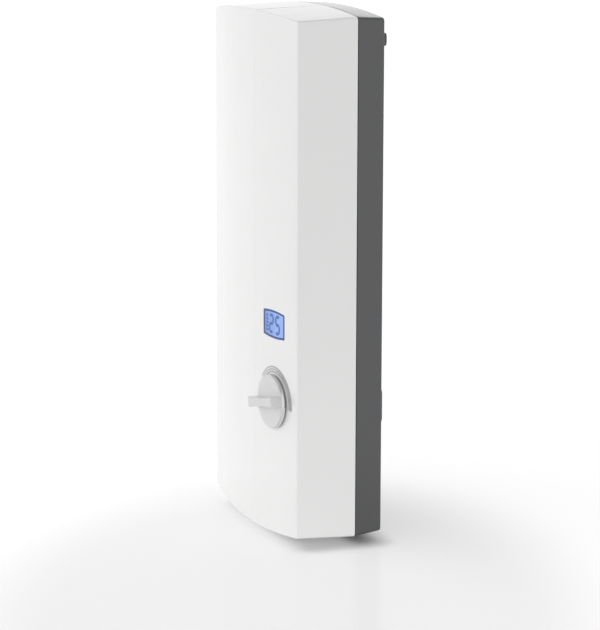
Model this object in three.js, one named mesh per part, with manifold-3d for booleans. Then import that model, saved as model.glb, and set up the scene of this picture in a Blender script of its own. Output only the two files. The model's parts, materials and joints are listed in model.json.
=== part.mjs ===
import * as THREE from 'three';
import { mergeVertices } from 'three/addons/utils/BufferGeometryUtils.js';
import Module from 'manifold-3d';

const wasm = await Module();
wasm.setup();

// An electronic tankless water heater for a wall: a white cover with a bulged front over a dark rear shell.
// Lengths are in millimetres. X runs to the right as seen from the front, Y back to the wall, Z up.
// A depth is a distance out from the wall, so a point at depth d lies at y = -d.
// Heights count from the middle of the casing. The finished group is moved so that its origin
// lies on the wall, behind the middle of the wall bracket.
// Pieces keep their distance from the casing's ends and sides: a rise counts up from the lower end of
// the seam, a drop down from its upper end, a side inset from the side and a middle gap from x = 0.
// Inside a group of pieces, a rise or drop counts from the piece that carries it.

// Air between pieces that touch, and how far a cutting shape runs past what it cuts.
const fit = { clearance: 0.3, overrun: 2 };

// Number of facets on round forms. These are counts, not lengths.
const facets = {
  round: 12,
  small: 8,
  fine: 6,
  hex: 6,
  outline: 1,
  section: 4,
  corner: 2,
  edge: 2,
  front: 12,
  bend: 5,
};

// Ratios that several pieces share: a half height, a taper, and so on. These are shares, not lengths.
const shares = {
  innerCorner: 0.25,
  tipRounding: 0.25,
  tipWidth: 0.75,
  ballBore: 0.75,
  seatStart: 0.75,
  shellRib: 0.333,
  shellSideRib: 0.833,
  coverRibHigh: 0.333,
  coverRibLow: -0.75,
  pinPlay: 0.333,
  crownMiddle: 0.75,
  washer: 0.333,
  socketFloor: 0.25,
  edgeMiddle: 0.333,
};

// The casing as a whole.
const casing = {
  width: 226,
  seamHalfHeight: 236.25,
  arch: 6.25,
  standOff: 4,
  shellDepth: 25.3,
  coverDepth: 57.2,
  bulge: 10.5,
  cornerRadius: 3,
};

// Front cover: an injection-moulded hood, drafted at top and bottom.
const cover = {
  wall: 2.8,
  draftDrop: 2.85,
  edgeRadius: 1.6,
  rimChamfer: 0.5,
  seamGap: 0.4,
  stepInset: 85.7,
  stepHalfWidth: 0.45,
  stepGroove: 0.7,
  stepRise: 0.4,
  ribThickness: 1.8,
  ribHeight: 4,
  ribInset: 22,
};

// Rear shell: a tapered tray that the cover closes.
const shell = {
  wall: 2.5,
  floor: 2.5,
  sideInset: 1.16,
  topInset: 1.2,
  bottomInset: 3.05,
  lipHeight: 3,
  lipThickness: 1.6,
  lipGap: 0.45,
  lipRoot: 6,
  ribThickness: 1.8,
  ribHeight: 5,
  bossRadius: 5,
};

// Removable lower back panel, which carries the pipe holes and the cable entry.
const panel = {
  pipeMargin: 15,
  topRise: 96.25,
  bottomRise: 14.25,
  radius: 6,
  flange: 4,
  flangeThickness: 1.6,
  pipeHoleRadius: 19,
};

// Rubber cable grommet in the lower back panel.
const grommet = {
  x: 0,
  rise: 31.25,
  boreRadius: 6.5,
  outerRadius: 13,
  neckRadius: 10.5,
  flangeThickness: 2,
  reach: 9,
};

// Wall bracket: a pressed strip whose folded ends look out behind the top of the shell.
const bracket = {
  drop: 22.05,
  sideGap: 6.2,
  endHeight: 11.6,
  endRise: 1.3,
  middleHalfWidth: 76,
  middleHeight: 30,
  thickness: 1.6,
  endDepth: 3.7,
  endFold: 6,
  endRadius: 3,
  slotX: 38,
  slotLength: 14,
  slotWidth: 6,
  slotRadius: 2.9,
};

// Hook tongues of the wall bracket, which carry the shell.
const tongue = { x: 60, width: 18, thickness: 1.6, reach: 9.4, rise: 6, slotMargin: 0.8 };

// Pads that keep the foot of the shell off the wall, on either side of the knob nut.
const pad = { sideInset: 15, width: 10, height: 32, radius: 4, recess: 1 };

// Knob nut that clamps the shell to the wall at its foot.
const clampNut = {
  rise: 118.25,
  radius: 11,
  height: 9,
  lobeCount: 6,
  lobeRadius: 3,
  spacerRadius: 10,
  boreRadius: 4.3,
  shankRadius: 4,
};

// Hooks of the cover and their seats in the shell, both turned about one pivot line.
const hook = {
  x: 60,
  width: 24,
  radius: 10,
  topDrop: 5.8,
  root: 8,
  seatWall: 2.4,
};

// Screw that closes the cover from below.
const coverScrew = {
  forward: 11,
  shankRadius: 2,
  headRadius: 3.7,
  headHeight: 2.2,
  crossLength: 4.6,
  crossWidth: 1,
  recess: 2.7,
  slotWidth: 5,
  recessWidth: 8.6,
  padHeight: 3.2,
  padHalfWidth: 8,
  padReach: 20,
  armHalfWidth: 6.5,
  armReach: 16,
  armHeight: 6,
  armGap: 1.1,
};

// Display window in the cover.
const display = {
  sideInset: 44,
  aboveKnob: 70.7,
  width: 42.3,
  sideHeight: 23.2,
  bow: 1.3,
  radius: 1.4,
  recess: 0.5,
  thickness: 1.6,
};

// Temperature knob with its grip bar.
const knob = {
  sideInset: 42.8,
  rise: 123.25,
  radius: 24.8,
  lift: 0.9,
  discHeight: 4.2,
  discEdge: 1,
  crown: 0.8,
  wall: 1.8,
  gripHeight: 10,
  gripEndWidth: 9.6,
  gripWaistWidth: 7.6,
  gripEdge: 1.2,
  restAngleDegrees: 10,
  bossRadius: 5.5,
  rimRadius: 24.2,
  rimInner: 21,
  rimHeight: 1.6,
  boreRadius: 4.4,
};

// Spindle between knob and encoder.
const spindle = { radius: 3, flatDrop: 0.9 };

// Control unit behind the cover: measured inwards from the outside of the cover at the knob.
const control = {
  displayFront: 3.6,
  displayThickness: 4.2,
  displayWidth: 50,
  displayHeight: 31,
  bezel: 1.2,
  boardFront: 12.5,
  boardThickness: 1.6,
  boardWidth: 50,
  boardTop: 94,
  boardBottom: -24,
  boardRadius: 3,
  chipX: -10,
  headerX: 10,
  headerDepth: 6.4,
  headerRise: 26,
  legPitch: 8.3,
  housingDepth: 11,
  housingWall: 1.6,
  housingMargin: 2,
  earRadius: 5,
  earInset: 15,
  earThickness: 2.4,
  postRadius: 3.6,
  screwRadius: 1.5,
  screwHead: 2.9,
  screwHeadHeight: 1.8,
  crossLength: 3.6,
  crossWidth: 0.8,
  screwLength: 9,
};

// Rotary encoder on the control board.
const encoder = { size: 13, height: 5.5, bushRadius: 4, bushHeight: 3, boreRadius: 3.3 };

// Heating block: a ribbed moulding with upright water channels.
const block = {
  sideInset: 16,
  middleGap: 21,
  bottomRise: 131.25,
  topDrop: 98.25,
  back: 13,
  baseDepth: 24,
  radius: 6,
  channelCount: 5,
  channelRadius: 6.2,
  channelInset: 14,
  crossRibCount: 3,
  crossRibHeight: 3,
  crossRibThickness: 2.4,
  earRadius: 6,
  earInset: 44,
  earThickness: 4,
  screwRadius: 2,
  screwHead: 4,
};

// Cap over the upper end of the heating block, with its terminals.
const cap = {
  height: 20,
  depth: 34,
  radius: 4,
  lip: 2,
  terminalRadius: 2,
  terminalLength: 12,
  nutRadius: 4.2,
  nutHeight: 3,
  terminalCount: 3,
  terminalMargin: 6.5,
  barrierThickness: 1.6,
  barrierHeight: 7,
};

// Safety pressure limiter on the front of the heating block, with its reset button.
const limiter = {
  drop: 50,
  offset: 14,
  width: 34,
  height: 27,
  depth: 15,
  radius: 2.5,
  socketRadius: 10,
  collarRadius: 5,
  collarHeight: 3,
  buttonRadius: 3.2,
  buttonProud: 3.4,
  buttonFlange: 4.1,
  buttonFlangeThickness: 1.4,
  travel: 2.2,
  bladeWidth: 6.3,
  bladeThickness: 0.8,
  bladeLength: 7,
  bladePitch: 9,
};

// Thermal cut-out on the hot end of the heating block, with its reset pin.
const cutout = {
  offset: 17,
  drop: 98,
  radius: 8,
  height: 9,
  flangeRadius: 11,
  flangeThickness: 1.4,
  pinRadius: 1.5,
  pinHeadRadius: 2.6,
  pinHead: 1.2,
  travel: 1,
};

// Water connections: union nuts that face the wall, half an inch, 100 apart.
const connection = {
  spacing: 100,
  rise: 46.25,
  depth: 38,
  face: 15,
  sealThickness: 2,
  sealInner: 6,
  sealOuter: 10,
  flangeRadius: 10.1,
  flangeThickness: 2,
  legRadius: 9,
  waterRadius: 6,
  elbowRise: 27,
  nutAcrossFlats: 30,
  nutBoreRadius: 10.4,
  nutBack: 7.5,
  nutShoulder: 3.2,
};

// Ball valve in the cold inlet.
const valve = {
  ballRise: 27,
  ballRadius: 8,
  bodyRadius: 13,
  bodyHalfHeight: 10.5,
  neckRadius: 7,
  neckReach: 21,
  spindleRadius: 3,
  spindleHeadRadius: 4.6,
  spindleHead: 3,
  slotWidth: 1.4,
  slotDepth: 1.4,
  tangHalfWidth: 1.6,
  tangDepth: 2.4,
  spigotRadius: 8.6,
  spigotReach: 19,
};

// Flow sensor above the valve: a tube with a turbine between two spiders.
const sensor = {
  overlap: 7.5,
  length: 47.5,
  outerRadius: 12,
  boreRadius: 8.2,
  socketRadius: 9,
  socketDepth: 9,
  collarRadius: 13.6,
  collarHeight: 4,
  spiderThickness: 2.4,
  spiderArmCount: 3,
  spiderArmWidth: 1.8,
  spiderHubRadius: 2.6,
  spiderRise: 13.5,
  spiderDrop: 12,
  pinRadius: 0.9,
  pinLength: 2,
  rotorHubRadius: 3,
  rotorRadius: 7.6,
  bladeCount: 4,
  bladeThickness: 1.1,
  bladePitchDegrees: 42,
  bladeShare: 0.8,
  pickupWidth: 14,
  pickupHeight: 16,
  pickupDepth: 7,
  plugWidth: 9.6,
  plugDepth: 4.8,
};

// Copper pipes between the fittings and the heating block.
const pipe = {
  radius: 7,
  waterRadius: 5.6,
  coldPortRise: 23,
  coldBend: 17,
  portSocketRadius: 10,
  portReach: 9,
  insertion: 7,
};

// Temperature sensors clipped on the pipes.
const probe = {
  length: 11,
  radius: 3,
  clipThickness: 1.2,
  clipHeight: 9,
  clipOpening: 8,
  coldX: 8,
  hotRise: 60,
};

// Power board with its parts.
const board = {
  middleGap: 7,
  sideInset: 14,
  drop: 166.25,
  height: 150,
  radius: 3,
  front: 22.5,
  thickness: 1.6,
  bossInset: 6,
  relayWidth: 26,
  relayHeight: 34,
  relayDepth: 22,
  relayInset: 23,
  relayRise: 42,
  edge: 1.2,
  chokeRadius: 13,
  chokeInner: 6,
  chokeDepth: 11,
  chokeDrop: 4,
  headerWidth: 20,
  headerHeight: 7,
  headerDepth: 8,
  headerDrop: 62,
  leadInset: 16,
  leadWidth: 14,
  leadHeight: 9,
  leadDepth: 8,
};

// Triacs on their cooling plate.
const triac = {
  width: 15.5,
  height: 20,
  thickness: 4.6,
  tabHeight: 5,
  tabThickness: 1.4,
  holeRadius: 1.9,
  pitch: 36,
  inset: 19,
  plateThickness: 4,
  plateHeight: 122,
  plateWidth: 24,
  finCount: 5,
  finHeight: 6,
  finThickness: 1.6,
};

// Mains terminal block.
const mains = {
  x: 0,
  rise: 73.25,
  width: 58,
  height: 24,
  back: 9,
  depth: 22,
  step: 7,
  poleCount: 4,
  wellRadius: 3.4,
  wellDepth: 8,
  screwRadius: 3,
  screwHeight: 2.4,
  entryWidth: 6,
  entryHeight: 7,
  entryBack: 8.5,
  barrier: 1.6,
};

// Inner wires: from the mains terminal to the power board, and from there to the heater terminals.
const wire = { radius: 1.5, pitch: 2.7, turn: 6, rise: 18, sideCount: 3, stepCount: 8 };

const colours = {
  white: 0xf4f4f3,
  darkGrey: 0x53545a,
  lightGrey: 0xd9dbdc,
  steel: 0xb4b7ba,
  brass: 0xc9a352,
  copper: 0xb87333,
  black: 0x2c2d30,
  blockGrey: 0xbfc2c4,
  boardGreen: 0x2f6b45,
  rubber: 0x3a3a3c,
  blue: 0x6f93e8,
  red: 0xb03028,
  aluminium: 0xc3c6c9,
  clear: 0xdfe8f5,
};

// Derived places and sizes.
const halfWidth = casing.width / 2;
const seamTop = casing.seamHalfHeight;
const seamBottom = -casing.seamHalfHeight;
const backDepth = casing.standOff;
const seamDepth = casing.standOff + casing.shellDepth;
const frontEdgeDepth = seamDepth + casing.coverDepth;
const floorFront = backDepth + shell.floor;
const frontHalfHeight = casing.seamHalfHeight - cover.draftDrop;
const pivotZ = casing.seamHalfHeight + casing.arch;
const draftSlope = cover.draftDrop / casing.coverDepth;
const stepX = halfWidth - cover.stepInset;
const bracketHalfWidth = halfWidth - bracket.sideGap;
const bracketZ = seamTop - bracket.drop;
const panelHalfWidth = connection.spacing / 2 + panel.pipeHoleRadius + panel.pipeMargin;
const panelTop = seamBottom + panel.topRise;
const panelBottom = seamBottom + panel.bottomRise;
const grommetZ = seamBottom + grommet.rise;
const clampZ = seamBottom + clampNut.rise;
const padX = halfWidth - pad.sideInset;
const knobX = halfWidth - knob.sideInset;
const knobZ = seamBottom + knob.rise;
const windowX = halfWidth - display.sideInset;
const windowZ = knobZ + display.aboveKnob;
const blockWidth = halfWidth - block.sideInset - block.middleGap;
const blockX = -block.middleGap - blockWidth / 2;
const blockTop = seamTop - block.topDrop;
const terminalPitch = (blockWidth - 2 * cap.terminalMargin) / cap.terminalCount;
const blockBottom = seamBottom + block.bottomRise;
const limiterX = blockX + limiter.offset;
const limiterZ = blockTop - limiter.drop;
const cutoutX = blockX - cutout.offset;
const cutoutZ = blockTop - cutout.drop;
const connectionZ = seamBottom + connection.rise;
const ballZ = connectionZ + valve.ballRise;
const spigotTop = ballZ + valve.spigotReach;
const sensorBottom = spigotTop - sensor.overlap;
const sensorTop = sensorBottom + sensor.length;
const spiderLow = sensorBottom + sensor.spiderRise;
const spiderHigh = sensorTop - sensor.spiderDrop;
const coldPortZ = blockBottom + pipe.coldPortRise;
const hotProbeZ = connectionZ + probe.hotRise;
const boardWidth = halfWidth - board.middleGap - board.sideInset;
const boardX = board.middleGap + boardWidth / 2;
const boardZ = seamTop - board.drop;
const plateX = board.middleGap + triac.inset;
const plateRight = plateX + triac.plateWidth / 2;
const leadX = board.middleGap + board.leadInset;
const relayX = halfWidth - board.sideInset - board.relayInset;
const relayZ = boardZ + board.relayRise;
const chokeZ = boardZ - board.chokeDrop;
const headerX = (plateRight + halfWidth - board.sideInset) / 2;
const headerZ = boardZ - board.headerDrop;
const mainsZ = seamBottom + mains.rise;

// The columns of points that draw the step line, as shares of its half width, and where its flanks lie.
const stepShares = [-1, -0.9, 0.9, 1];
const stepFlankShare = 0.95;

// The bulged front in plan, with the upright step line that parts it into two panels.
function frontDepthAt(x) {
  const share = x / halfWidth;
  const arc = frontEdgeDepth + casing.bulge * (1 - share * share);
  const past = x - stepX;
  const flank = cover.stepHalfWidth * stepFlankShare;
  if (past < -flank) return arc;
  if (past < flank) return arc - cover.stepGroove;
  return arc + cover.stepRise * (1 - past / (halfWidth - stepX));
}

// Merges shared corners, drops empty triangles and turns the faces outwards.
function weld(geometry) {
  const plain = geometry.clone();
  plain.deleteAttribute('normal');
  plain.deleteAttribute('uv');
  plain.clearGroups();
  const merged = mergeVertices(plain);
  const index = merged.getIndex().array;
  const position = merged.getAttribute('position');
  const corners = [0, 1, 2].map(() => new THREE.Vector3());
  const kept = [];
  let volume = 0;
  for (let i = 0; i < index.length; i += 3) {
    const [a, b, c] = [index[i], index[i + 1], index[i + 2]];
    if (a === b || b === c || c === a) continue;
    kept.push(a, b, c);
    [a, b, c].forEach((k, n) => corners[n].fromBufferAttribute(position, k));
    volume += corners[0].dot(corners[1].cross(corners[2]));
  }
  if (volume < 0) kept.reverse();
  merged.setIndex(kept);
  return merged;
}

function toSolid(geometry) {
  const welded = weld(geometry);
  return new wasm.Manifold(
    new wasm.Mesh({
      numProp: 3,
      vertProperties: new Float32Array(welded.getAttribute('position').array),
      triVerts: new Uint32Array(welded.getIndex().array),
    }),
  );
}

function toGeometry(solid) {
  const mesh = solid.getMesh();
  const geometry = new THREE.BufferGeometry();
  geometry.setAttribute('position', new THREE.BufferAttribute(new Float32Array(mesh.vertProperties), 3));
  geometry.setIndex(new THREE.BufferAttribute(new Uint32Array(mesh.triVerts), 1));
  return geometry;
}

function join(first, ...others) {
  return toGeometry(others.reduce((solid, other) => solid.add(toSolid(other)), toSolid(first)));
}

function cut(first, ...others) {
  return toGeometry(others.reduce((solid, other) => solid.subtract(toSolid(other)), toSolid(first)));
}

function common(first, other) {
  return toGeometry(toSolid(first).intersect(toSolid(other)));
}

// A box between two values along each axis: x, depth and z are pairs.
function brick(x, depth, z) {
  const geometry = new THREE.BoxGeometry(x[1] - x[0], depth[1] - depth[0], z[1] - z[0]);
  geometry.translate((x[0] + x[1]) / 2, -(depth[0] + depth[1]) / 2, (z[0] + z[1]) / 2);
  return geometry;
}

const around = (middle, size) => [middle - size / 2, middle + size / 2];

// An outline drawn in X and Z, drawn out from one depth to another.
function slab(shape, from, to, curveSegments = facets.outline) {
  const settings = { depth: to - from, bevelEnabled: false, curveSegments };
  const geometry = new THREE.ExtrudeGeometry(shape, settings);
  geometry.rotateX(Math.PI / 2);
  geometry.translate(0, -from, 0);
  return geometry;
}

function roundedRect(width, height, radius, x = 0, z = 0) {
  const [left, right] = around(x, width);
  const [low, high] = around(z, height);
  const shape = new THREE.Shape();
  shape.moveTo(left + radius, low);
  shape.lineTo(right - radius, low);
  shape.absarc(right - radius, low + radius, radius, -Math.PI / 2, 0, false);
  shape.lineTo(right, high - radius);
  shape.absarc(right - radius, high - radius, radius, 0, Math.PI / 2, false);
  shape.lineTo(left + radius, high);
  shape.absarc(left + radius, high - radius, radius, Math.PI / 2, Math.PI, false);
  shape.lineTo(left, low + radius);
  shape.absarc(left + radius, low + radius, radius, Math.PI, Math.PI * 1.5, false);
  return shape;
}

// Round bars along the depth, upright, and across.
function rodDeep(radius, from, to, x, z, sides = facets.small) {
  const geometry = new THREE.CylinderGeometry(radius, radius, to - from, sides);
  geometry.translate(x, -(from + to) / 2, z);
  return geometry;
}

function rodUp(radius, from, to, x, depth, sides = facets.round) {
  const geometry = new THREE.CylinderGeometry(radius, radius, to - from, sides);
  geometry.rotateX(Math.PI / 2);
  geometry.translate(x, -depth, (from + to) / 2);
  return geometry;
}

function rodAcross(radius, from, to, depth, z, sides = facets.round) {
  const geometry = new THREE.CylinderGeometry(radius, radius, to - from, sides);
  geometry.rotateZ(Math.PI / 2);
  geometry.translate((from + to) / 2, -depth, z);
  return geometry;
}

// A turned form: points are pairs of radius and distance along the axis.
function turned(points, sides = facets.round) {
  return new THREE.LatheGeometry(points.map(([r, along]) => new THREE.Vector2(r, along)), sides);
}

function turnedDeep(points, x, z, sides) {
  return turned(points, sides).rotateX(Math.PI).translate(x, 0, z);
}

function turnedUp(points, x, depth, sides) {
  return turned(points, sides).rotateX(Math.PI / 2).translate(x, -depth, 0);
}

// A ring profile between two radii and two places along the axis.
function ringPoints(inner, outer, from, to) {
  return [[inner, from], [outer, from], [outer, to], [inner, to], [inner, from]];
}

// A pipe or wire of given radius along a path; a bore gives it a wall.
function tube(path, radius, bore, sides, steps) {
  const section = new THREE.Shape();
  section.absarc(0, 0, radius, 0, Math.PI * 2, false);
  if (bore > 0) {
    const hole = new THREE.Path();
    hole.absarc(0, 0, bore, 0, Math.PI * 2, true);
    section.holes.push(hole);
  }
  const settings = { steps, extrudePath: path, curveSegments: sides, bevelEnabled: false };
  return new THREE.ExtrudeGeometry(section, settings);
}

const at = (x, depth, z) => new THREE.Vector3(x, -depth, z);

// One cross-section of the casing: two chains of points, above and below, over the same columns.
function casingRing({ half, top, bottom, radius, arch, depthAt, columns = [] }) {
  const flat = half - radius;
  const corner = [];
  for (let i = 0; i <= facets.corner; i += 1) {
    const turn = (i / facets.corner) * (Math.PI / 2);
    corner.push({ x: flat + radius * Math.sin(turn), drop: radius * (1 - Math.cos(turn)) });
  }
  const inner = [...columns];
  for (let i = 1; i < facets.front; i += 1) inner.push(flat * ((2 * i) / facets.front - 1));
  inner.sort((a, b) => a - b);
  const points = [
    ...[...corner].reverse().map(({ x, drop }) => ({ x: -x, drop })),
    ...inner.map((x) => ({ x, drop: 0 })),
    ...corner,
  ];
  return points.map(({ x, drop }) => {
    const share = x / half;
    const rise = arch * (1 - share * share) - drop;
    return { x, high: top + rise, low: -(bottom + rise), depth: depthAt(x) };
  });
}

// A closed body through cross-sections that follow each other from the wall outwards.
function casingLoft(rings) {
  const count = rings[0].length;
  const girth = 2 * count;
  const positions = [];
  for (const ring of rings) {
    for (const p of ring) positions.push(p.x, -p.depth, p.high);
    for (const p of [...ring].reverse()) positions.push(p.x, -p.depth, p.low);
  }
  const index = [];
  for (let k = 0; k + 1 < rings.length; k += 1) {
    for (let i = 0; i < girth; i += 1) {
      const next = (i + 1) % girth;
      const [a, b] = [k * girth + i, k * girth + next];
      const [d, c] = [a + girth, b + girth];
      index.push(a, d, c, a, c, b);
    }
  }
  const last = (rings.length - 1) * girth;
  for (let i = 0; i + 1 < count; i += 1) {
    const opposite = girth - 1 - i;
    index.push(i, i + 1, opposite, i + 1, opposite - 1, opposite);
    index.push(last + i, last + opposite, last + i + 1);
    index.push(last + i + 1, last + opposite, last + opposite - 1);
  }
  const geometry = new THREE.BufferGeometry();
  geometry.setAttribute('position', new THREE.Float32BufferAttribute(positions, 3));
  geometry.setIndex(index);
  return geometry;
}

const stepColumns = stepShares.map((share) => stepX + share * cover.stepHalfWidth);

// A cross-section of the cover drawn in by an inset, at a depth given for each x.
function coverRing(inset, halfHeight, depthAt) {
  return casingRing({
    half: halfWidth - inset,
    top: halfHeight - inset,
    bottom: halfHeight - inset,
    radius: Math.max(casing.cornerRadius - inset, casing.cornerRadius * shares.innerCorner),
    arch: casing.arch,
    depthAt,
    columns: stepColumns,
  });
}

// The outer form of the cover, with its front set back by a given amount.
function coverForm(setBack) {
  const start = seamDepth + cover.seamGap;
  const rings = [
    coverRing(cover.rimChamfer, casing.seamHalfHeight, () => start),
    coverRing(0, casing.seamHalfHeight, () => start + cover.rimChamfer),
  ];
  for (let i = 0; i <= facets.edge; i += 1) {
    const turn = (i / facets.edge) * (Math.PI / 2);
    const inset = cover.edgeRadius * (1 - Math.cos(turn));
    const back = cover.edgeRadius * (1 - Math.sin(turn)) + setBack;
    rings.push(coverRing(inset, frontHalfHeight, (x) => frontDepthAt(x) - back));
  }
  return casingLoft(rings);
}

function coverHollow() {
  return casingLoft([
    coverRing(cover.wall, casing.seamHalfHeight, () => seamDepth - fit.overrun),
    coverRing(cover.wall, frontHalfHeight, (x) => frontDepthAt(x) - cover.wall),
  ]);
}

function windowOutline(inset) {
  const w = display.width / 2 - inset;
  const h = display.sideHeight / 2 - inset;
  const r = display.radius;
  const crown = h + 2 * display.bow;
  const shape = new THREE.Shape();
  shape.moveTo(windowX - w, windowZ - h + r);
  shape.lineTo(windowX - w, windowZ + h - r);
  shape.quadraticCurveTo(windowX - w, windowZ + h, windowX - w + r, windowZ + h);
  shape.quadraticCurveTo(windowX, windowZ + crown, windowX + w - r, windowZ + h);
  shape.quadraticCurveTo(windowX + w, windowZ + h, windowX + w, windowZ + h - r);
  shape.lineTo(windowX + w, windowZ - h + r);
  shape.quadraticCurveTo(windowX + w, windowZ - h, windowX + w - r, windowZ - h);
  shape.quadraticCurveTo(windowX, windowZ - crown, windowX - w + r, windowZ - h);
  shape.quadraticCurveTo(windowX - w, windowZ - h, windowX - w, windowZ - h + r);
  return shape;
}

// The control unit lies square to the cover at the knob.
const controlTurn = Math.atan((2 * casing.bulge * knobX) / (halfWidth * halfWidth));
const knobSurface = frontDepthAt(knobX);

// Puts a geometry drawn about the knob's axis into the place that it has on the cover.
function onControlPlane(geometry) {
  return geometry.rotateZ(controlTurn).translate(knobX, -knobSurface, knobZ);
}

const boardCentreZ = (control.boardTop + control.boardBottom) / 2;
const boardHeight = control.boardTop - control.boardBottom;
const housingHalfWidth = control.boardWidth / 2 + control.housingMargin + control.housingWall;
const housingHalfHeight = boardHeight / 2 + control.housingMargin + control.housingWall;
const earX = housingHalfWidth + control.screwHead + 2 * fit.clearance;
const earZs = [
  boardCentreZ + housingHalfHeight - control.earInset,
  boardCentreZ - housingHalfHeight + control.earInset,
];
const earPlaces = earZs.flatMap((z) => [-earX, earX].map((x) => [x, z]));
const earBack = control.boardFront + control.boardThickness;

// The hook's outline: flat above and round below, so that it turns in its seat.
function hookOutline(radius, topDrop, root) {
  const reach = Math.sqrt(radius * radius - topDrop * topDrop);
  const start = Math.atan2(-topDrop, reach);
  const shape = new THREE.Shape();
  shape.moveTo(-root, -topDrop);
  shape.lineTo(-root, -radius);
  shape.lineTo(0, -radius);
  shape.absarc(0, 0, radius, -Math.PI / 2, start, false);
  shape.lineTo(reach, -topDrop);
  return shape;
}

// Draws an outline given behind and above the pivot line out along X.
function aboutPivot(shape, x, width) {
  const settings = { depth: width, bevelEnabled: false, curveSegments: facets.section };
  const geometry = new THREE.ExtrudeGeometry(shape, settings);
  geometry.applyMatrix4(new THREE.Matrix4().makeBasis(
    new THREE.Vector3(0, 1, 0),
    new THREE.Vector3(0, 0, 1),
    new THREE.Vector3(1, 0, 0),
  ));
  return geometry.translate(x - width / 2, -seamDepth, pivotZ);
}

const lowerEdgeAt = (forward) => -(casing.seamHalfHeight + casing.arch) + forward * draftSlope;
const screwSeatZ = lowerEdgeAt(coverScrew.forward) + coverScrew.recess;
const armBottom = lowerEdgeAt(coverScrew.forward) + cover.wall + coverScrew.padHeight + coverScrew.armGap;

function frontCover() {
  const wallTop = pivotZ - casing.arch / 2;
  const hooks = [-hook.x, hook.x].flatMap((x) => [
    aboutPivot(hookOutline(hook.radius, hook.topDrop, hook.root), x, hook.width),
    common(
      brick(
        around(x, hook.width),
        [seamDepth + cover.seamGap + cover.rimChamfer, seamDepth + hook.root],
        [pivotZ - hook.radius, wallTop],
      ),
      coverForm(0),
    ),
  ]);
  const posts = earPlaces.map(([x, z]) => {
    const post = rodDeep(control.postRadius, 0, earBack - fit.clearance, 0, 0);
    return common(onControlPlane(post.rotateX(Math.PI).translate(x, 0, z)), coverForm(cover.wall / 2));
  });
  const pilots = earPlaces.map(([x, z]) => onControlPlane(
    rodDeep(control.screwRadius + fit.clearance, 0, control.screwLength, 0, 0, facets.fine)
      .translate(x, earBack + fit.overrun, z),
  ));
  const screwPad = common(
    brick(
      [-coverScrew.padHalfWidth, coverScrew.padHalfWidth],
      [seamDepth + cover.seamGap + cover.rimChamfer, seamDepth + coverScrew.padReach],
      [-pivotZ, lowerEdgeAt(coverScrew.forward) + cover.wall + coverScrew.padHeight],
    ),
    coverForm(0),
  );
  const slotFrom = seamDepth - fit.overrun;
  const slotTo = seamDepth + coverScrew.forward;
  const slotHigh = -pivotZ + cover.wall + coverScrew.padHeight + 2 * fit.overrun;
  const slots = [
    brick(around(0, coverScrew.slotWidth), [slotFrom, slotTo], [-pivotZ - fit.overrun, slotHigh]),
    rodUp(coverScrew.slotWidth / 2, -pivotZ - fit.overrun, slotHigh, 0, slotTo, facets.small),
    brick(around(0, coverScrew.recessWidth), [slotFrom, slotTo], [-pivotZ - fit.overrun, screwSeatZ]),
    rodUp(coverScrew.recessWidth / 2, -pivotZ - fit.overrun, screwSeatZ, 0, slotTo, facets.small),
  ];
  const ribZs = [shares.coverRibHigh, shares.coverRibLow].map((share) => share * casing.seamHalfHeight);
  const ribs = ribZs.map((z) => {
    const band = brick(
      [-halfWidth, halfWidth],
      [seamDepth + cover.ribInset, frontEdgeDepth + casing.bulge],
      around(z, cover.ribThickness),
    );
    const inset = cover.wall + cover.ribHeight;
    const inner = casingLoft([
      coverRing(inset, casing.seamHalfHeight, () => seamDepth - fit.overrun),
      coverRing(inset, frontHalfHeight, (x) => frontDepthAt(x) - inset),
    ]);
    return cut(common(band, coverForm(cover.wall / 2)), inner);
  });
  const hollow = cut(coverForm(0), coverHollow());
  const bare = join(hollow, ...ribs, ...hooks, ...posts, screwPad);
  const bore = onControlPlane(
    rodDeep(knob.boreRadius, -cover.wall, 2 * cover.wall, 0, 0).rotateX(Math.PI),
  );
  const opening = slab(
    windowOutline(0),
    seamDepth + casing.coverDepth / 2,
    frontEdgeDepth + 2 * casing.bulge,
    facets.section,
  );
  return cut(bare, ...slots, ...pilots, bore, opening);
}

function displayWindow() {
  const front = frontEdgeDepth + 2 * casing.bulge;
  const pane = slab(windowOutline(fit.clearance), seamDepth, front, facets.section);
  return cut(common(pane, coverForm(display.recess)), coverForm(display.recess + display.thickness));
}

// Everything on the control plane is drawn about the knob's axis: x right, y inwards, z up.
function inwards(x, from, to, z) {
  const geometry = new THREE.BoxGeometry(x[1] - x[0], to - from, z[1] - z[0]);
  return geometry.translate((x[0] + x[1]) / 2, (from + to) / 2, (z[0] + z[1]) / 2);
}

function slabInwards(shape, from, to) {
  return slab(shape, -to, -from);
}

function rodInwards(radius, from, to, x = 0, z = 0, sides = facets.small) {
  return rodDeep(radius, -to, -from, x, z, sides);
}

const displayX = windowX - knobX;
const displayZ = display.aboveKnob;

function displayModule() {
  const from = control.displayFront + fit.clearance;
  const to = from + control.displayThickness;
  const body = slabInwards(
    roundedRect(control.displayWidth, control.displayHeight, display.radius, displayX, displayZ),
    from,
    to,
  );
  const glass = slabInwards(
    roundedRect(display.width, display.sideHeight, display.radius, displayX, displayZ),
    from - fit.clearance,
    from + control.bezel,
  );
  return join(body, glass);
}

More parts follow.
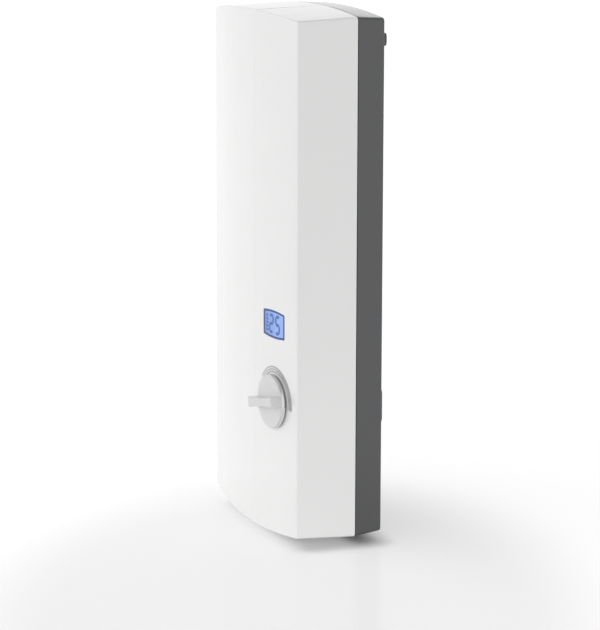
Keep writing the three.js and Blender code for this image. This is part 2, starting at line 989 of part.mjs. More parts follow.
function controlBoard() {
  const outline = roundedRect(control.boardWidth, boardHeight, control.boardRadius, 0, boardCentreZ);
  const plate = slabInwards(outline, control.boardFront, control.boardFront + control.boardThickness);
  const chip = inwards(
    around(control.chipX, encoder.size),
    control.boardFront + control.boardThickness / 2,
    control.boardFront + 2 * control.boardThickness,
    around(boardCentreZ, encoder.size),
  );
  const header = inwards(
    around(control.headerX, encoder.size),
    control.boardFront + control.boardThickness / 2,
    control.boardFront + control.headerDepth,
    around(boardCentreZ + control.headerRise, encoder.height),
  );
  const legZ = displayZ - control.displayHeight / 2 + control.bezel;
  const legs = [-2, -1, 0, 1, 2].map((n) => inwards(
    around(displayX + n * control.legPitch, control.bezel),
    control.displayFront + control.displayThickness + 2 * fit.clearance,
    control.boardFront + control.boardThickness / 2,
    around(legZ, control.bezel),
  ));
  return join(plate, chip, header, ...legs);
}

function controlHousing() {
  const from = control.boardFront - control.boardThickness;
  const to = control.boardFront + control.housingDepth;
  const outer = slabInwards(
    roundedRect(2 * housingHalfWidth, 2 * housingHalfHeight, 2 * control.boardRadius, 0, boardCentreZ),
    from,
    to,
  );
  const inset = 2 * control.housingWall;
  const inner = slabInwards(
    roundedRect(
      2 * housingHalfWidth - inset,
      2 * housingHalfHeight - inset,
      control.boardRadius,
      0,
      boardCentreZ,
    ),
    from - fit.overrun,
    to - control.housingWall,
  );
  const ears = earPlaces.map(([x, z]) => {
    const ear = rodInwards(control.earRadius, earBack, earBack + control.earThickness, x, z);
    const side = Math.sign(x) * (housingHalfWidth - control.housingWall);
    const web = inwards(
      [Math.min(x, side), Math.max(x, side)],
      earBack,
      earBack + control.earThickness,
      around(z, 2 * control.earRadius),
    );
    return join(ear, web);
  });
  const pillars = [[-1, 1], [1, 1], [-1, -1], [1, -1]].map(([sx, sz]) => rodInwards(
    control.postRadius,
    control.boardFront + control.boardThickness + fit.clearance,
    to - control.housingWall / 2,
    (sx * control.boardWidth) / 2 - sx * control.postRadius,
    boardCentreZ + (sz * boardHeight) / 2 - sz * control.postRadius,
  ));
  const holes = earPlaces.map(([x, z]) => rodInwards(
    control.screwRadius + fit.clearance,
    earBack - fit.overrun,
    earBack + control.earThickness + fit.overrun,
    x,
    z,
  ));
  const lead = inwards(
    around(control.headerX, encoder.size + fit.overrun),
    control.boardFront,
    to + fit.overrun,
    around(boardCentreZ + control.headerRise, encoder.height + fit.overrun),
  );
  const notches = earPlaces.map(([x, z]) => rodInwards(
    control.postRadius + fit.clearance, from - fit.overrun, earBack, x, z,
  ));
  return cut(join(cut(outer, inner), ...ears, ...pillars), ...holes, ...notches, lead);
}

function controlScrew([x, z]) {
  const seat = earBack + control.earThickness + fit.clearance;
  const head = rodInwards(control.screwHead, seat, seat + control.screwHeadHeight, x, z);
  const shank = rodInwards(
    control.screwRadius, seat - control.screwLength, seat + control.bezel, x, z, facets.fine,
  );
  const bars = [
    [control.crossWidth, control.crossLength],
    [control.crossLength, control.crossWidth],
  ];
  const cross = bars.map(([width, height]) => inwards(
    around(x, width),
    seat + control.screwHeadHeight / 2,
    seat + control.screwHeadHeight + fit.overrun,
    around(z, height),
  ));
  return cut(join(head, shank), ...cross);
}

function encoderBody() {
  const back = control.boardFront - fit.clearance;
  const face = back - encoder.height;
  const floor = back - encoder.height * shares.socketFloor;
  const can = inwards(around(0, encoder.size), face, back, around(0, encoder.size));
  const bush = rodInwards(encoder.bushRadius, face - encoder.bushHeight, back - encoder.height / 2);
  const bore = rodInwards(encoder.boreRadius, face - 2 * encoder.bushHeight, floor);
  return cut(join(can, bush), bore);
}

const encoderMouth = control.boardFront - fit.clearance - encoder.height;

function knobSpindle() {
  const from = -knob.lift - knob.discHeight / 2;
  const to = encoderMouth + encoder.height / 2;
  const flat = inwards(
    [-spindle.radius - fit.overrun, spindle.radius + fit.overrun],
    from - fit.overrun,
    0,
    [spindle.radius - spindle.flatDrop, spindle.radius + fit.overrun],
  );
  return cut(rodInwards(spindle.radius, from, to), flat);
}

// The grip bar: waisted in plan, its ends on the disc's own circle, its upper edges rounded.
function gripBar() {
  const end = knob.radius - knob.gripEdge / 2;
  const endHalf = knob.gripEndWidth / 2 - knob.gripEdge;
  const waistHalf = knob.gripWaistWidth / 2 - knob.gripEdge;
  const endAngle = Math.asin(endHalf / (end - knob.gripEdge));
  const tip = end - knob.gripEdge;
  const shape = new THREE.Shape();
  shape.moveTo(tip * Math.cos(endAngle), -endHalf);
  shape.absarc(0, 0, tip, -endAngle, endAngle, false);
  shape.quadraticCurveTo(0, 2 * waistHalf - endHalf, -tip * Math.cos(endAngle), endHalf);
  shape.absarc(0, 0, tip, Math.PI - endAngle, Math.PI + endAngle, false);
  shape.quadraticCurveTo(0, endHalf - 2 * waistHalf, tip * Math.cos(endAngle), -endHalf);
  const settings = {
    depth: knob.gripHeight,
    curveSegments: facets.section,
    bevelThickness: knob.gripEdge,
    bevelSize: knob.gripEdge,
    bevelSegments: facets.edge,
  };
  const geometry = new THREE.ExtrudeGeometry(shape, settings);
  geometry.rotateX(Math.PI / 2);
  return geometry.translate(0, -knob.lift - knob.discHeight + knob.gripEdge, 0);
}

function temperatureKnob() {
  const base = -knob.lift;
  const face = base - knob.discHeight;
  const edge = knob.discEdge;
  const disc = turned([
    [0, base],
    [knob.radius, base],
    [knob.radius, face + edge],
    [knob.radius - edge * shares.edgeMiddle, face + edge * shares.edgeMiddle],
    [knob.radius - edge, face],
    [knob.radius / 2, face - knob.crown * shares.crownMiddle],
    [0, face - knob.crown],
  ], facets.round * 2);
  const hollow = turned([
    [knob.bossRadius, base + fit.overrun],
    [knob.rimInner + fit.clearance, base + fit.overrun],
    [knob.rimInner + fit.clearance, face + knob.wall],
    [knob.bossRadius, face + knob.wall],
    [knob.bossRadius, base + fit.overrun],
  ], facets.round);
  const boreFloor = -knob.lift - knob.discHeight / 2 - fit.clearance;
  const bore = rodInwards(spindle.radius + fit.clearance, boreFloor, fit.overrun);
  const flat = inwards(
    around(0, 2 * spindle.radius + fit.overrun),
    -knob.lift - knob.discHeight,
    fit.overrun,
    [spindle.radius - spindle.flatDrop + fit.clearance, 2 * spindle.radius],
  );
  const rimSeat = turned(ringPoints(
    knob.rimInner + fit.clearance - fit.overrun,
    knob.rimRadius + fit.clearance,
    base + fit.overrun,
    base - knob.rimHeight - fit.clearance,
  ), facets.round * 2);
  return cut(join(disc, gripBar()), hollow, rimSeat, cut(bore, flat));
}

// A darker ring under the knob, which closes the gap to the cover.
function knobRim() {
  const base = -knob.lift + fit.clearance;
  return turned(ringPoints(knob.rimInner, knob.rimRadius, base, base - knob.rimHeight), facets.round * 2);
}

// The shell at a share of its depth: narrow at the wall, full at the seam.
function shellRing(share, inset, depth) {
  const back = 1 - share;
  return casingRing({
    half: halfWidth - back * shell.sideInset - inset,
    top: casing.seamHalfHeight - back * shell.topInset - inset,
    bottom: casing.seamHalfHeight - back * shell.bottomInset - inset,
    radius: Math.max(casing.cornerRadius - inset, casing.cornerRadius * shares.innerCorner),
    arch: casing.arch,
    depthAt: () => depth,
  });
}

const lipInset = cover.wall + shell.lipGap;

const boardPlaces = [-1, 1].flatMap((up) => [-1, 1].map((side) => [
  boardX + side * (boardWidth / 2 - board.bossInset),
  boardZ + up * (board.height / 2 - board.bossInset),
]));
const blockEars = [blockBottom + block.earInset, blockTop - block.earInset].flatMap(
  (z) => [-1, 1].map((side) => [blockX + (side * (blockWidth + block.earRadius)) / 2, z]),
);
const tongueTop = bracketZ + tongue.thickness / 2;

function rearShell() {
  const edge = casing.cornerRadius * shares.innerCorner;
  const outer = casingLoft([
    shellRing(0, edge, backDepth),
    shellRing(0, 0, backDepth + edge),
    shellRing(1, 0, seamDepth),
  ]);
  const hollow = casingLoft([
    shellRing(0, shell.wall, floorFront),
    shellRing(1, shell.wall, seamDepth + fit.overrun),
  ]);
  const lipBody = casingLoft([
    shellRing(1, shell.wall / 2, seamDepth - shell.lipRoot),
    shellRing(1, shell.wall / 2, seamDepth - fit.clearance),
    shellRing(1, lipInset, seamDepth - fit.clearance),
    shellRing(1, lipInset, seamDepth + shell.lipHeight),
  ]);
  const lipHollow = casingLoft([
    shellRing(1, lipInset + shell.lipThickness, seamDepth - shell.lipRoot - fit.overrun),
    shellRing(1, lipInset + shell.lipThickness, seamDepth + shell.lipHeight + fit.overrun),
  ]);
  const lip = cut(lipBody, lipHollow);
  const seatTop = pivotZ - hook.topDrop + shell.lipGap + fit.clearance;
  const seatOuter = hook.radius + fit.clearance + hook.seatWall;
  const seats = [-hook.x, hook.x].map((x) => common(
    brick(
      around(x, hook.width + 2 * hook.seatWall + 2 * fit.clearance),
      [seamDepth - seatOuter, seamDepth - fit.clearance],
      [pivotZ - seatOuter, pivotZ],
    ),
    outer,
  ));
  const channels = [-hook.x, hook.x].flatMap((x) => [
    aboutPivot(
      hookOutline(hook.radius + fit.clearance, hook.topDrop - 2 * fit.clearance, hook.root),
      x,
      hook.width + 2 * fit.clearance,
    ),
    brick(
      around(x, hook.width + 2 * fit.clearance),
      [seamDepth - fit.clearance, seamDepth + shell.lipHeight + fit.overrun],
      [pivotZ - seatOuter, pivotZ],
    ),
  ]);
  const padNotch = brick(
    around(0, 2 * (coverScrew.padHalfWidth + shell.lipGap)),
    [seamDepth, seamDepth + shell.lipHeight + fit.overrun],
    [-pivotZ, armBottom],
  );
  const arm = brick(
    [-coverScrew.armHalfWidth, coverScrew.armHalfWidth],
    [seamDepth - shell.lipRoot, seamDepth + coverScrew.armReach],
    [armBottom, armBottom + coverScrew.armHeight],
  );
  const armFoot = brick(
    [-coverScrew.armHalfWidth, coverScrew.armHalfWidth],
    [seamDepth - shell.lipRoot, seamDepth - fit.clearance],
    [shell.bottomInset + shell.wall / 2 - pivotZ, armBottom + coverScrew.armHeight],
  );
  const screwHole = rodUp(
    coverScrew.shankRadius + fit.clearance,
    armBottom - fit.overrun,
    armBottom + coverScrew.armHeight + fit.overrun,
    0,
    seamDepth + coverScrew.forward,
    facets.small,
  );
  const bosses = [
    ...boardPlaces.map(([x, z]) => [x, z, board.front - board.thickness - fit.clearance]),
    ...blockEars.map(([x, z]) => [x, z, block.back - fit.clearance]),
  ].map(([x, z, front]) => rodDeep(shell.bossRadius, floorFront - shell.floor / 2, front, x, z));
  const bossHoles = [...boardPlaces, ...blockEars].map(([x, z]) => rodDeep(
    block.screwRadius + fit.clearance, floorFront, board.front, x, z, facets.fine,
  ));
  const ribZs = [-1, 1].map((side) => side * casing.seamHalfHeight * shares.shellRib);
  const ribs = [
    ...ribZs.map((z) => brick(
      [-halfWidth + shell.wall, halfWidth - shell.wall],
      [floorFront - shell.floor / 2, floorFront + shell.ribHeight],
      around(z, shell.ribThickness),
    )),
    ...[-1, 1].map((side) => brick(
      around(side * halfWidth * shares.shellSideRib, shell.ribThickness),
      [floorFront - shell.floor / 2, floorFront + shell.ribHeight],
      [panelBottom, casing.seamHalfHeight - 6 * shell.wall],
    )),
  ];
  const panelMiddle = (panelTop + panelBottom) / 2;
  const opening = slab(
    roundedRect(2 * panelHalfWidth, panelTop - panelBottom, panel.radius, 0, panelMiddle),
    backDepth - fit.overrun,
    floorFront + shell.ribHeight + fit.overrun,
  );
  const flangeRoom = slab(
    roundedRect(
      2 * (panelHalfWidth + panel.flange + fit.clearance),
      panelTop - panelBottom + 2 * (panel.flange + fit.clearance),
      panel.radius + panel.flange,
      0,
      panelMiddle,
    ),
    floorFront,
    floorFront + shell.ribHeight + fit.overrun,
  );
  const hangingSlots = [-tongue.x, tongue.x].map((x) => brick(
    around(x, tongue.width + 2 * tongue.slotMargin),
    [backDepth - fit.overrun, floorFront + shell.ribHeight + fit.overrun],
    [tongueTop - tongue.rise - 2 * tongue.thickness - tongue.slotMargin, tongueTop + fit.clearance],
  ));
  const clampHole = rodDeep(
    clampNut.boreRadius, -fit.overrun, floorFront + shell.ribHeight + fit.overrun, 0, clampZ,
  );
  const clampRoom = rodDeep(
    clampNut.radius + 2 * fit.clearance,
    floorFront,
    floorFront + shell.ribHeight + fit.overrun,
    0,
    clampZ,
  );
  const spacer = rodDeep(
    clampNut.spacerRadius, 0, backDepth + shell.floor / 2, 0, clampZ, facets.round,
  );
  const trayFloor = join(cut(outer, hollow), ...ribs, spacer);
  const tray = join(cut(trayFloor, opening, flangeRoom, clampHole, clampRoom), ...bosses);
  const rim = join(cut(tray, ...bossHoles, ...hangingSlots), lip, ...seats, armFoot);
  return cut(join(cut(rim, ...channels, padNotch), arm), screwHole);
}

function lowerBackPanel() {
  const middle = (panelTop + panelBottom) / 2;
  const height = panelTop - panelBottom;
  const inset = 2 * fit.clearance;
  const plate = slab(
    roundedRect(2 * panelHalfWidth - inset, height - inset, panel.radius, 0, middle),
    backDepth,
    floorFront,
  );
  const flange = slab(
    roundedRect(2 * (panelHalfWidth + panel.flange), height + 2 * panel.flange, panel.radius, 0, middle),
    floorFront + fit.clearance,
    floorFront + fit.clearance + panel.flangeThickness,
  );
  const core = slab(
    roundedRect(2 * panelHalfWidth - inset, height - inset, panel.radius, 0, middle),
    floorFront - shell.floor / 2,
    floorFront + fit.clearance + panel.flangeThickness,
  );
  const holes = [-1, 1].map((side) => rodDeep(
    panel.pipeHoleRadius,
    backDepth - fit.overrun,
    floorFront + panel.flangeThickness + fit.overrun,
    (side * connection.spacing) / 2,
    connectionZ,
    facets.round,
  ));
  const cableHole = rodDeep(
    grommet.neckRadius + fit.clearance,
    backDepth - fit.overrun,
    floorFront + panel.flangeThickness + fit.overrun,
    grommet.x,
    grommetZ,
    facets.round,
  );
  const reliefs = [-1, 1].map((side) => brick(
    around((side * panelHalfWidth) / 2, panelHalfWidth / 2),
    [backDepth - fit.overrun, backDepth + shell.floor / 2],
    around(panelTop - 2 * panel.radius, panel.radius),
  ));
  return cut(join(plate, core, flange), ...holes, cableHole, ...reliefs);
}

function cableGrommet() {
  const rear = backDepth - fit.clearance;
  const front = floorFront + fit.clearance + panel.flangeThickness + fit.clearance;
  const points = [
    [grommet.boreRadius, rear - grommet.flangeThickness],
    [grommet.outerRadius - grommet.flangeThickness, rear - grommet.flangeThickness],
    [grommet.outerRadius, rear],
    [grommet.neckRadius, rear],
    [grommet.neckRadius, front],
    [grommet.outerRadius, front],
    [grommet.outerRadius, front + grommet.flangeThickness],
    [grommet.neckRadius, front + grommet.flangeThickness + grommet.flangeThickness / 2],
    [grommet.boreRadius + grommet.flangeThickness, front + grommet.reach],
    [grommet.boreRadius, front + grommet.reach],
    [grommet.boreRadius, rear - grommet.flangeThickness],
  ];
  return turnedDeep(points, grommet.x, grommetZ, facets.round);
}

function wallBracket() {
  const outline = new THREE.Shape();
  const [low, high] = around(bracketZ, bracket.middleHeight);
  const endZ = bracketZ + bracket.endRise;
  const [endLow, endHigh] = around(endZ, bracket.endHeight);
  const slope = (bracket.middleHeight - bracket.endHeight) / 2;
  outline.moveTo(-bracketHalfWidth, endLow);
  outline.lineTo(-bracket.middleHalfWidth - slope, endLow);
  outline.quadraticCurveTo(-bracket.middleHalfWidth, endLow, -bracket.middleHalfWidth, low);
  outline.lineTo(bracket.middleHalfWidth, low);
  outline.quadraticCurveTo(bracket.middleHalfWidth, endLow, bracket.middleHalfWidth + slope, endLow);
  outline.lineTo(bracketHalfWidth, endLow);
  outline.lineTo(bracketHalfWidth, endHigh);
  outline.lineTo(bracket.middleHalfWidth + slope, endHigh);
  outline.quadraticCurveTo(bracket.middleHalfWidth, endHigh, bracket.middleHalfWidth, high);
  outline.lineTo(-bracket.middleHalfWidth, high);
  outline.quadraticCurveTo(-bracket.middleHalfWidth, endHigh, -bracket.middleHalfWidth - slope, endHigh);
  outline.lineTo(-bracketHalfWidth, endHigh);
  const strip = slab(outline, 0, bracket.thickness);
  const ends = [-1, 1].map((side) => {
    const x = side * (bracketHalfWidth - bracket.endFold / 2);
    const endBlock = brick(
      around(x, bracket.endFold), [0, bracket.endDepth], [endLow, endHigh],
    );
    const inner = brick(
      around(x - side * bracket.thickness, bracket.endFold),
      [bracket.thickness, bracket.endDepth + fit.overrun],
      around(endZ, bracket.endHeight + fit.overrun),
    );
    return cut(endBlock, inner);
  });
  const rounding = slab(
    roundedRect(2 * bracketHalfWidth, bracket.endHeight, bracket.endRadius, 0, endZ),
    0,
    bracket.endDepth,
  );
  const middle = brick(
    around(0, 2 * (bracketHalfWidth - bracket.endRadius - bracket.endFold)),
    [0, bracket.endDepth],
    around(bracketZ, bracket.middleHeight),
  );
  const body = common(join(strip, ...ends), join(rounding, middle));
  const tongues = [-tongue.x, tongue.x].map((x) => {
    const leg = brick(
      around(x, tongue.width), [bracket.thickness / 2, tongue.reach], around(bracketZ, tongue.thickness),
    );
    const rise = brick(
      around(x, tongue.width),
      [tongue.reach - tongue.thickness, tongue.reach],
      [bracketZ - tongue.thickness / 2, tongueTop + tongue.rise],
    );
    return join(leg, rise);
  });
  const slots = [-bracket.slotX, bracket.slotX].map((x) => slab(
    roundedRect(bracket.slotLength, bracket.slotWidth, bracket.slotRadius, x, bracketZ),
    -fit.overrun,
    bracket.thickness + fit.overrun,
  ));
  return cut(join(body, ...tongues), ...slots);
}

function wallPad(side) {
  const outline = roundedRect(pad.width, pad.height, pad.radius, side * padX, clampZ);
  const front = backDepth - fit.clearance;
  const body = slab(outline, 0, front);
  const dish = slab(
    roundedRect(pad.width - pad.radius, pad.height - pad.radius, pad.radius / 2, side * padX, clampZ),
    front - pad.recess,
    front + fit.overrun,
  );
  return cut(body, dish);
}

function clampKnob() {
  const from = floorFront + fit.clearance;
  const to = from + clampNut.height;
  const disc = rodDeep(clampNut.radius - clampNut.lobeRadius / 2, from, to, 0, clampZ, facets.round);
  const lobes = Array.from({ length: clampNut.lobeCount }, (_, i) => {
    const turn = (i * 2 * Math.PI) / clampNut.lobeCount;
    const reach = clampNut.radius - clampNut.lobeRadius;
    return rodDeep(
      clampNut.lobeRadius,
      from,
      to,
      reach * Math.cos(turn),
      clampZ + reach * Math.sin(turn),
      facets.fine,
    );
  });
  const shank = rodDeep(clampNut.shankRadius, 0, to - fit.overrun, 0, clampZ);
  return join(disc, ...lobes, shank);
}

function coverScrewPiece() {
  const depth = seamDepth + coverScrew.forward;
  const headTop = screwSeatZ - fit.clearance;
  const head = rodUp(coverScrew.headRadius, headTop - coverScrew.headHeight, headTop, 0, depth);
  const shank = rodUp(
    coverScrew.shankRadius,
    headTop - coverScrew.headHeight / 2,
    armBottom + coverScrew.armHeight,
    0,
    depth,
    facets.small,
  );
  const slotLow = headTop - coverScrew.headHeight - fit.overrun;
  const slotHigh = headTop - coverScrew.headHeight / 2;
  const slots = [
    brick(around(0, coverScrew.crossLength), around(depth, coverScrew.crossWidth), [slotLow, slotHigh]),
    brick(around(0, coverScrew.crossWidth), around(depth, coverScrew.crossLength), [slotLow, slotHigh]),
  ];
  return cut(join(head, shank), ...slots);
}

const blockFront = block.back + block.baseDepth;
const coldX = connection.spacing / 2;
const hotX = -connection.spacing / 2;
const waterDepth = connection.depth;
const coldPortFace = blockX + blockWidth / 2 + pipe.portReach;
const hotPortFace = blockBottom - pipe.portReach;

// A cheese-head screw, tight in the piece that it holds and reaching down into a boss of the shell.
function fixingScrew(x, z, seat) {
  const shank = rodDeep(block.screwRadius, floorFront + fit.clearance, seat, x, z, facets.fine);
  const head = rodDeep(block.screwHead, seat - fit.overrun / 2, seat + block.screwRadius, x, z);
  return join(shank, head);
}

function heatingBlock() {
  const middleZ = (blockBottom + blockTop) / 2;
  const height = blockTop - blockBottom;
  const base = slab(
    roundedRect(blockWidth, height, block.radius, blockX, middleZ), block.back, blockFront,
  );
  const pitch = (blockWidth - 2 * block.channelInset) / (block.channelCount - 1);
  const channels = Array.from({ length: block.channelCount }, (_, i) => {
    const x = blockX - blockWidth / 2 + block.channelInset + i * pitch;
    const low = blockBottom + block.channelInset;
    const high = blockTop - block.channelInset;
    const capsule = new THREE.CapsuleGeometry(block.channelRadius, high - low, facets.edge, facets.small);
    return capsule.rotateX(Math.PI / 2).translate(x, -blockFront, (low + high) / 2);
  });
  const ribStep = height / (block.crossRibCount + 1);
  const crossRibs = Array.from({ length: block.crossRibCount }, (_, i) => brick(
    around(blockX, blockWidth - 2 * block.radius),
    [blockFront - fit.overrun, blockFront + block.crossRibHeight],
    around(blockBottom + (i + 1) * ribStep, block.crossRibThickness),
  ));
  const ears = blockEars.map(([x, z]) => {
    const inner = blockX + Math.sign(x - blockX) * (blockWidth / 2 - fit.overrun);
    return join(
      rodDeep(block.earRadius, block.back, block.back + block.earThickness, x, z, facets.round),
      brick(
        [Math.min(x, inner), Math.max(x, inner)],
        [block.back, block.back + block.earThickness],
        around(z, 2 * block.earRadius),
      ),
    );
  });
  const screws = blockEars.map(([x, z]) => fixingScrew(x, z, block.back + block.earThickness));
  const coldPort = rodAcross(
    pipe.portSocketRadius, blockX, coldPortFace, waterDepth, coldPortZ,
  );
  const hotPort = rodUp(
    pipe.portSocketRadius, hotPortFace, blockBottom + 2 * block.radius, hotX, waterDepth,
  );
  const boreRadius = pipe.radius + fit.clearance;
  const coldBore = rodAcross(
    boreRadius,
    coldPortFace - pipe.insertion - fit.clearance,
    coldPortFace + fit.overrun,
    waterDepth,
    coldPortZ,
  );
  const hotBore = rodUp(
    boreRadius,
    hotPortFace - fit.overrun,
    hotPortFace + pipe.insertion + fit.clearance,
    hotX,
    waterDepth,
  );
  const seatFront = blockFront + block.channelRadius + fit.clearance;
  const limiterSeat = rodDeep(
    limiter.socketRadius, blockFront - fit.overrun, seatFront, limiterX, limiterZ, facets.round,
  );
  const cutoutSeat = rodDeep(
    cutout.flangeRadius, blockFront - fit.overrun, seatFront, cutoutX, cutoutZ, facets.round,
  );
  const face = brick(
    around(blockX, blockWidth + 2 * fit.overrun),
    [0, blockFront - block.channelRadius / 2],
    around(middleZ, height),
  );
  const ridges = cut(join(channels[0], ...channels.slice(1)), face);
  const plain = join(base, ridges, ...crossRibs, ...ears, ...screws);
  return cut(join(plain, coldPort, hotPort, limiterSeat, cutoutSeat), coldBore, hotBore);
}

const capBottom = blockTop + fit.clearance;
const capTop = capBottom + cap.height;
const terminalXs = Array.from(
  { length: cap.terminalCount },
  (_, i) => blockX + (i - (cap.terminalCount - 1) / 2) * terminalPitch,
);
const terminalDepth = block.back + cap.depth / 2;

function blockCap() {
  const middle = (capBottom + capTop) / 2;
  const body = slab(
    roundedRect(blockWidth, cap.height, cap.radius, blockX, middle),
    block.back,
    block.back + cap.depth,
  );
  const barrierXs = [
    terminalXs[0] - terminalPitch / 2,
    ...terminalXs.map((x) => x + terminalPitch / 2),
  ];
  const barriers = barrierXs.map((x) => brick(
    around(x, cap.barrierThickness),
    around(terminalDepth, cap.depth - 2 * cap.lip),
    [capTop - cap.radius, capTop + cap.barrierHeight],
  ));
  const holes = terminalXs.map((x) => rodUp(
    cap.terminalRadius + fit.clearance,
    capBottom + cap.height / 2,
    capTop + fit.overrun,
    x,
    terminalDepth,
    facets.fine,
  ));
  return cut(join(body, ...barriers), ...holes);
}

function heaterTerminal(x) {
  const foot = capBottom + cap.height / 2 + fit.clearance;
  const stud = rodUp(cap.terminalRadius, foot, capTop + cap.terminalLength, x, terminalDepth, facets.fine);
  const seat = capTop + fit.clearance;
  const nut = rodUp(cap.nutRadius, seat, seat + cap.nutHeight, x, terminalDepth, facets.hex);
  const washer = rodUp(
    cap.nutRadius + cap.terminalRadius / 2,
    seat,
    seat + cap.nutHeight * shares.washer,
    x,
    terminalDepth,
    facets.small,
  );
  return join(stud, nut, washer);
}

const limiterBack = blockFront + block.channelRadius + 2 * fit.clearance;
const limiterFront = limiterBack + limiter.depth;

function pressureLimiter() {
  const body = slab(
    roundedRect(limiter.width, limiter.height, limiter.radius, limiterX, limiterZ),
    limiterBack,
    limiterFront,
  );
  const collar = rodDeep(
    limiter.collarRadius + limiter.buttonFlangeThickness,
    limiterFront - fit.overrun,
    limiterFront + limiter.collarHeight,
    limiterX,
    limiterZ,
    facets.round,
  );
  const well = rodDeep(
    limiter.buttonFlange + fit.clearance,
    limiterFront - 2 * limiter.travel - limiter.buttonFlangeThickness,
    limiterMouth,
    limiterX,
    limiterZ,
    facets.round,
  );
  const mouth = rodDeep(
    limiter.buttonRadius + fit.clearance,
    limiterFront,
    limiterFront + limiter.collarHeight + fit.overrun,
    limiterX,
    limiterZ,
    facets.round,
  );
  const bladeReach = limiter.width / 2 + (limiter.bladeLength - fit.overrun) / 2;
  const blades = [-1, 0, 1].flatMap((n) => [-1, 1].map((side) => brick(
    around(limiterX + side * bladeReach, limiter.bladeLength + fit.overrun),
    around(limiterBack + limiter.depth / 2, limiter.bladeWidth),
    around(limiterZ + n * limiter.bladePitch, limiter.bladeThickness),
  )));
  return cut(join(body, collar, ...blades), well, mouth);
}

const limiterMouth = limiterFront + limiter.collarHeight - limiter.buttonFlangeThickness;
const limiterFlangeFront = limiterMouth - fit.clearance;

function limiterButton() {
  const flangeBack = limiterFlangeFront - limiter.buttonFlangeThickness;
  const tip = limiterFront + limiter.collarHeight + limiter.buttonProud;
  return turnedDeep([
    [0, flangeBack],
    [limiter.buttonFlange, flangeBack],
    [limiter.buttonFlange, limiterFlangeFront],
    [limiter.buttonRadius, limiterFlangeFront],
    [limiter.buttonRadius, tip - limiter.buttonRadius * shares.tipRounding],
    [limiter.buttonRadius * shares.tipWidth, tip],
    [0, tip],
  ], limiterX, limiterZ, facets.small);
}

const cutoutBack = blockFront + block.channelRadius + 2 * fit.clearance;
const cutoutFront = cutoutBack + cutout.flangeThickness + cutout.height;

function thermalCutout() {
  const body = turnedDeep([
    [0, cutoutBack],
    [cutout.flangeRadius, cutoutBack],
    [cutout.flangeRadius, cutoutBack + cutout.flangeThickness],
    [cutout.radius, cutoutBack + cutout.flangeThickness],
    [cutout.radius, cutoutFront],
    [0, cutoutFront],
  ], cutoutX, cutoutZ, facets.round);
  const bladeBack = cutoutBack + cutout.height / 2;
  const blades = brick(
    around(cutoutX, limiter.bladeWidth),
    [bladeBack, bladeBack + limiter.bladeThickness],
    around(cutoutZ, 2 * (cutout.radius + limiter.bladeLength)),
  );
  const bore = rodDeep(
    cutout.pinRadius + fit.clearance,
    cutoutFront - cutout.height / 2,
    cutoutFront + fit.overrun,
    cutoutX,
    cutoutZ,
  );
  return cut(join(body, blades), bore);
}

function cutoutPin() {
  const foot = cutoutFront - cutout.height / 2 + cutout.travel + fit.clearance;
  const tip = cutoutFront + cutout.travel + fit.clearance + cutout.pinHead;
  return turnedDeep([
    [0, foot],
    [cutout.pinRadius, foot],
    [cutout.pinRadius, tip - cutout.pinHead],
    [cutout.pinHeadRadius, tip - cutout.pinHead],
    [cutout.pinHeadRadius, tip - cutout.pinHead * shares.tipRounding],
    [cutout.pinHeadRadius * shares.tipWidth, tip],
    [0, tip],
  ], cutoutX, cutoutZ, facets.small);
}

const flangeBack = connection.face + connection.sealThickness + fit.clearance;
const flangeFront = flangeBack + connection.flangeThickness;

// The leg of a fitting that comes from the wall, with the flange that its union nut holds.
function wallLeg(x) {
  return join(
    rodDeep(connection.flangeRadius, flangeBack, flangeFront, x, connectionZ, facets.round),
    rodDeep(connection.legRadius, flangeBack, waterDepth, x, connectionZ, facets.round),
  );
}

function elbowBall(x) {
  const ball = new THREE.SphereGeometry(connection.legRadius + fit.clearance, facets.round, facets.small);
  return ball.rotateX(Math.PI / 2).translate(x, -waterDepth, connectionZ);
}

function wallBore(x) {
  return rodDeep(
    connection.waterRadius, flangeBack - fit.overrun, waterDepth, x, connectionZ, facets.small,
  );
}

function valveBody() {
  const upright = rodUp(connection.legRadius, connectionZ, ballZ, coldX, waterDepth);
  const barrel = turnedUp([
    [0, ballZ - valve.bodyHalfHeight],
    [connection.legRadius, ballZ - valve.bodyHalfHeight],
    [valve.bodyRadius, ballZ - valve.bodyHalfHeight / 2],
    [valve.bodyRadius, ballZ + valve.bodyHalfHeight / 2],
    [connection.legRadius + fit.clearance, ballZ + valve.bodyHalfHeight],
    [0, ballZ + valve.bodyHalfHeight],
  ], coldX, waterDepth, facets.round);
  const spigot = rodUp(valve.spigotRadius, ballZ, spigotTop, coldX, waterDepth);
  const neckFront = waterDepth + valve.neckReach;
  const neck = rodDeep(valve.neckRadius, waterDepth, neckFront, coldX, ballZ, facets.round);
  const chamber = ballForm((valve.ballRadius + fit.clearance) / Math.cos(Math.PI / facets.round));
  const top = spigotTop + fit.overrun;
  const waterway = rodUp(
    connection.waterRadius, connectionZ, top, coldX, waterDepth, facets.small,
  );
  const loading = rodUp(valve.ballRadius + fit.clearance, ballZ, top, coldX, waterDepth);
  const stem = rodDeep(
    valve.spindleRadius + fit.clearance, waterDepth, neckFront + fit.overrun, coldX, ballZ,
  );
  return cut(
    join(wallLeg(coldX), elbowBall(coldX), upright, barrel, spigot, neck),
    wallBore(coldX),
    waterway,
    chamber,
    common(loading, barrel),
    stem,
  );
}

// A ball turned about the spindle's axis. Its chamber has the same facets and leaves its corners free.
function ballForm(radius) {
  const ball = new THREE.SphereGeometry(radius, facets.round, facets.fine);
  return ball.translate(coldX, -waterDepth, ballZ);
}

